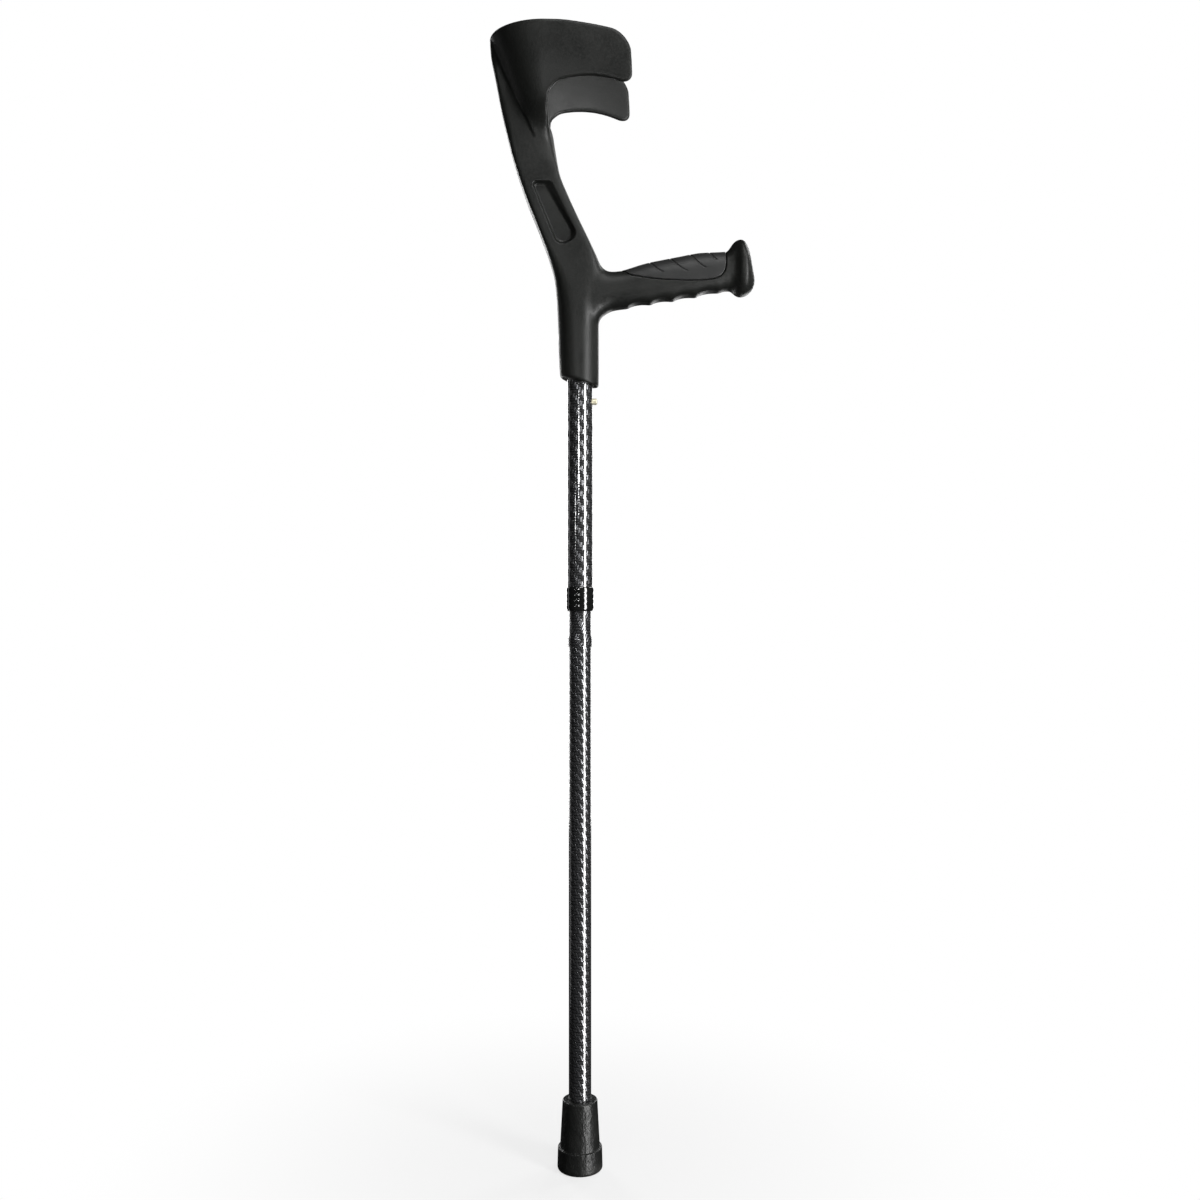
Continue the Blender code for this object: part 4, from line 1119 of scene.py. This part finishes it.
def build_middle_tube(material):
    """The sliding tube: a bell below that takes the lower tube, and the button's hole."""
    mouth = MIDDLE_BOTTOM
    bell_top, shoulder_top = mouth + 6.4, mouth + 10.6
    seat, seat_top = mouth + 7.5, mouth + 9.8
    bore = LOWER_R - TUBE_WALL
    bell_bore = LOWER_R + GAP
    corners = [
        (bell_bore, mouth), (BELL_R, mouth), (BELL_R, bell_top), (LOWER_R, shoulder_top),
        (LOWER_R, MIDDLE_TOP), (bore, MIDDLE_TOP), (bore, seat_top), (bell_bore, seat),
    ]
    profile = rounded(corners, [0.1, 0.3, 3.0, 3.0, 0.3, 0.3, 1.0, 1.0], 7)
    body = lathe("middle_tube_print", fine_rings(profile, RING_STEP))
    hole = rod("hole", PIN_R + GAP, 5, 20, (0.0, 0.0, BUTTON_Z), "X")
    combine(body, hole)
    finish(body, material, TUBE_CREASE, "inner_tube", "carbon_look", "middle_tube")


def build_lower_tube(material):
    """The plain tube between the folding joint and the ferrule."""
    body = lathe("lower_tube_print", tube_profile(LOWER_R, LOWER_BOTTOM, LOWER_TOP))
    finish(body, material, TUBE_CREASE, "lower_shaft", "carbon_look", "lower_tube")


def build_collar(material):
    """The anti-rattle collar: ribs with soft crests, a thin lip over the tube and a turned-in foot."""
    inner = LOWER_R + GAP
    lip = UPPER_R + GAP
    seat = UPPER_BOTTOM - GAP
    low, high = COLLAR_BOTTOM, COLLAR_TOP
    ribs = 4
    foot = low + 1.2
    rib = (high - 0.4 - foot) / ribs
    profile = [(inner, low + 0.2), (inner + 0.2, low), (COLLAR_R - 1.5, low), (COLLAR_R - 1.0, low + 0.15)]
    for k in range(ribs):
        for t in spread(0.02, 0.98, 11):
            swell = math.sin(math.pi * t) ** 0.6
            profile.append((COLLAR_R - 0.5 + 0.5 * swell, foot + (k + t) * rib))
    profile += [(COLLAR_R - 0.6, high - 0.15), (COLLAR_R - 0.8, high), (lip + 0.1, high)]
    profile += [(lip, high - 0.1), (lip, seat), (inner, seat)]
    body = lathe("anti_rattle_collar_gloss", profile)
    finish(body, material, 30, "handle", "gloss_black", "anti_rattle_collar")


def build_button(material):
    """The snap button: a domed pin on a thin flange that keeps it in its tube."""
    dome = 1.5
    edge = 0.15
    flange_r = BUTTON_FLANGE_R
    flange = BUTTON_BACK + 0.8
    profile = [(0, BUTTON_BACK), (flange_r - edge, BUTTON_BACK), (flange_r, BUTTON_BACK + edge)]
    profile += [(flange_r, flange - edge), (flange_r - edge, flange)]
    profile += [(PIN_R + 0.1, flange), (PIN_R, flange + edge)]
    for turn in spread(0.0, math.pi / 2, 14):
        profile.append((PIN_R - dome + dome * math.cos(turn), BUTTON_TIP - dome + dome * math.sin(turn)))
    profile.append((0, BUTTON_TIP))
    body = lathe("snap_button_pin", profile, (0.0, 0.0, BUTTON_Z), "X", 96)
    finish(body, material, 40, "button", "brass", "snap_button")


def build_ferrule(material):
    """The rubber tip: a tapered sleeve over a wide foot, with a soft mouth and tread rings below."""
    bore = LOWER_R + GAP
    floor = 5.0
    foot_top, foot_top_r = 19.5, 19.2
    cone_low_r, cone_top_r = 17.3, 15.1
    ring_half_width, ring_depth = 1.3, 1.1
    corners = [(0, 0)]
    for centre in (8.0, 13.0):
        corners += [(centre - ring_half_width, 0), (centre, ring_depth), (centre + ring_half_width, 0)]
    radii = [0] + [0.3] * 6 + [2.6, 0.7, 0.7, 1.1, 0.5, 0.5, 0]
    corners += [
        (FERRULE_R, 0), (foot_top_r, foot_top), (cone_low_r, foot_top), (cone_top_r, FERRULE_TOP),
        (bore, FERRULE_TOP), (bore, floor), (0, floor),
    ]
    body = lathe("ferrule_rubber", fine_rings(rounded(corners, radii, 7), 3.0))
    finish(body, material, 40, "lower_shaft", "tip_rubber", "ferrule")


def build_spigot(material):
    """The bare spigot that joins the two tubes of the folding joint, tapered at its top."""
    bore = 5.0
    taper_height, taper = 3.0, 1.8
    corners = [(bore, SPIGOT_BOTTOM), (SPIGOT_R, SPIGOT_BOTTOM), (SPIGOT_R, SPIGOT_TOP - taper_height)]
    corners += [(SPIGOT_R - taper, SPIGOT_TOP), (bore, SPIGOT_TOP)]
    profile = rounded(corners, [0.2, 0.4, 4.0, 0.6, 0.3], 8)
    body = lathe("joint_spigot_bare", fine_rings(profile, 10.0), segments=96)
    finish(body, material, 35, "lower_shaft", "bare_tube", "joint_spigot")


def build_cord(material):
    """The braided cord that runs between its two clips."""
    turns = spread(0.0, 2 * math.pi, 33)[:-1]
    rings = []
    for z in spread(CORD_BOTTOM, CORD_TOP, 160):
        at_end = min(z - CORD_BOTTOM, CORD_TOP - z) < CORD_END
        radius = CORD_R - (CORD_END_INSET if at_end else 0.0)
        rings.append([(radius * math.cos(t), radius * math.sin(t), z) for t in turns])
    body = loft("shock_cord_braided", rings)
    shade(body, material, 50)
    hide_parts("shock_cord")
    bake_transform(body)


def leaf_line(thick):
    """The middle line of the U-shaped leaf, down its front, round its bend and up its back."""
    outer = (LEAF_FRONT - LEAF_BACK) / 2
    centre = (LEAF_FRONT + LEAF_BACK) / 2
    bend_z = LEAF_BOTTOM + outer
    middle_r = outer - thick / 2
    over_button = 2.5
    front_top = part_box("snap_button")[1].z / MM + over_button
    line = [(LEAF_FRONT - thick / 2, z) for z in spread(front_top, bend_z, 12)]
    for turn in spread(0.0, -math.pi, 25)[1:]:
        line.append((centre + middle_r * math.cos(turn), bend_z + middle_r * math.sin(turn)))
    return line + [(LEAF_BACK + thick / 2, z) for z in spread(bend_z, LEAF_TOP, 12)[1:]]


def build_leaf(material):
    """The U-shaped leaf behind the button."""
    thick = 0.8
    half, wide = thick / 2, LEAF_HALF_WIDTH
    section = rounded([(-half, -wide), (half, -wide), (half, wide), (-half, wide)], [0.2] * 4, 4)
    line = leaf_line(thick)
    rings = []
    for k, (x, z) in enumerate(line):
        a = line[max(k - 1, 0)]
        b = line[min(k + 1, len(line) - 1)]
        run = Vector((b[0] - a[0], b[1] - a[1])).normalized()
        rings.append([(x - run.y * s, w, z + run.x * s) for s, w in section])
    body = loft("button_spring_leaf", rings)
    shade(body, material, 40)
    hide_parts("button_spring")
    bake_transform(body)


# ---- carried-over CAD nodes


def dress_nodes(finishes):
    """Better materials and softened edges for the CAD nodes that are shown as they are."""
    for name, material in finishes.items():
        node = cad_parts[name]
        node.data.materials.clear()
        node.data.materials.append(material)
        weld = node.modifiers.new("weld", "WELD")
        weld.merge_threshold = 1e-6
        soften = node.modifiers.new("soften", "BEVEL")
        soften.width = 0.00015
        soften.segments = 2
        soften.limit_method = "ANGLE"
        soften.angle_limit = math.radians(40)


# ---- stage


def floor_paint():
    """Pale under the crutch, and as white as the surround further out."""
    paint = Paint("pale_floor")
    paint.set("Base Color", (0.93, 0.93, 0.93))
    paint.set("Roughness", 0.9)
    paint.set("Specular IOR Level", 0.1)
    x, y = paint.axes()[:2]
    away = paint.calc("SQRT", paint.plus(paint.times(x, x), paint.times(y, y)))
    share = paint.stretch(away, 0.02, 0.45, 0.72, 1.0)
    glow = paint.node("Emission", 0, {"Color": (1, 1, 1), "Strength": 1.0})
    mixed = paint.node("MixShader", 0, {0: share, 1: paint.shader.outputs[0], 2: glow})
    paint.feed(paint.tree.nodes["Material Output"].inputs["Surface"], mixed)
    return paint.material


def build_floor():
    """A round floor that only the eye sees: it isn't reflected and casts no shadow."""
    turns = spread(0.0, 2 * math.pi, 65)[:-1]
    points = [(0.0, 0.0, 0.0)] + [(FLOOR_R * math.cos(t), FLOOR_R * math.sin(t), 0.0) for t in turns]
    faces = [(0, 1 + k, 1 + (k + 1) % len(turns)) for k in range(len(turns))]
    data = bpy.data.meshes.new("floor")
    data.from_pydata(points, [], faces)
    data.materials.append(floor_paint())
    floor = add_object("floor", data)
    floor.location.z = CAD_BOX[0].z - FLOOR_DROP
    floor.visible_glossy = False
    floor.visible_diffuse = False
    floor.visible_shadow = False


def softbox(name, stand, aim, width, height, power):
    """A rectangular lamp that faces a point, its sides in metres and its power in watts."""
    lamp = bpy.data.lights.new(name, "AREA")
    lamp.shape = "RECTANGLE"
    lamp.size = width
    lamp.size_y = height
    lamp.energy = power
    thing = add_object(name, lamp)
    thing.location = stand
    thing.rotation_euler = (Vector(aim) - Vector(stand)).to_track_quat("-Z", "Y").to_euler()


def build_surround():
    """A white surround for the eye, and a much dimmer room for the surfaces to reflect."""
    world = bpy.data.worlds.new("studio")
    bpy.context.scene.world = world
    world.use_nodes = True
    tree = world.node_tree
    backdrop = tree.nodes["Background"]
    backdrop.inputs["Color"].default_value = (1, 1, 1, 1)
    path = tree.nodes.new("ShaderNodeLightPath")
    strength = tree.nodes.new("ShaderNodeMath")
    strength.operation = "MAXIMUM"
    strength.inputs[1].default_value = ROOM_LIGHT
    tree.links.new(path.outputs["Is Camera Ray"], strength.inputs[0])
    tree.links.new(strength.outputs[0], backdrop.inputs["Strength"])


def round_shaft(turn_degrees, distance, z):
    """A place at this distance from the shaft, its angle measured to the right from the camera's side."""
    turn = math.radians(turn_degrees)
    return (distance * math.sin(turn), -distance * math.cos(turn), z)


def build_stage():
    """The floor, the surround and the lamps."""
    build_floor()
    build_surround()
    low = (0, 0, 0.5)
    high = (0, 0, 0.85)
    softbox("key", round_shaft(48, 1.7, 0.33), low, 0.46, 2.15, 36.0)
    softbox("right_high", round_shaft(52, 1.7, 1.75), high, 0.20, 0.9, 3.9)
    softbox("left_high", round_shaft(-30, 1.7, 1.75), high, 0.20, 0.9, 1.2)
    softbox("left_low", round_shaft(-112, 1.7, 0.45), low, 0.28, 1.7, 0.8)
    softbox("back_left", round_shaft(-152, 1.8, 0.75), low, 0.50, 1.6, 12.0)
    softbox("back_right", round_shaft(158, 1.8, 0.75), low, 0.50, 1.6, 9.0)
    softbox("front_top", (0.3, -1.2, 2.3), (0, 0, 0.8), 0.7, 0.7, 11.5)
    softbox("right_side", round_shaft(128, 1.5, 1.75), high, 0.50, 0.7, 7.0)
    softbox("front_lamp", round_shaft(-10, 1.5, 0.80), (0, 0, 0.62), 0.22, 0.13, 2.0)
    softbox("front_lamp_low", round_shaft(-41, 1.5, 0.67), (0, 0, 0.57), 0.10, 0.063, 0.3)


def build_camera():
    """The camera that looks level at the side of the crutch."""
    data = bpy.data.cameras.new("camera")
    data.lens = CAMERA_LENS
    data.sensor_width = SENSOR
    camera = add_object("camera", data)
    camera.location = CAMERA_PLACE
    camera.rotation_euler = (math.radians(90), 0, 0)
    bpy.context.scene.camera = camera


def build_all():
    """Every shown piece, each with its material."""
    build_handle(moulded_plastic())
    build_pad(soft_grip())
    build_upper_tube(twill_print("twill_upper", 28, 2.43, -0.12))
    build_middle_tube(twill_print("twill_middle", 24, 2.6, -0.5))
    build_lower_tube(twill_print("twill_lower", 24, 2.75, 0.42))
    build_collar(gloss_plastic())
    brass = machined_metal("button_brass", (0.86, 0.80, 0.58), (0.95, 0.91, 0.72), 0.42, 1500.0, "X", 0.5)
    build_button(brass)
    build_ferrule(tip_rubber())
    build_spigot(machined_metal("drawn_aluminium", (0.66, 0.66, 0.67), (0.76, 0.76, 0.77), 0.30, 1800.0))
    build_cord(braided_cover())
    build_leaf(machined_metal("spring_steel", (0.40, 0.40, 0.42), (0.50, 0.50, 0.51), 0.28, 1400.0))
    zinc = machined_metal("zinc_plate", (0.52, 0.53, 0.55), (0.68, 0.68, 0.69), 0.30, 1000.0, "X")
    nylon = grey_nylon()
    finishes = dict.fromkeys(("tube_screw", "cord_clip_upper", "cord_clip_lower", "ferrule_washer"), zinc)
    finishes.update(dict.fromkeys(("guide_bush", "cord_plug_upper", "tube_end_plug"), nylon))
    dress_nodes(finishes)


bpy.context.scene.view_settings.view_transform = "Standard"
build_camera()
build_all()
build_stage()
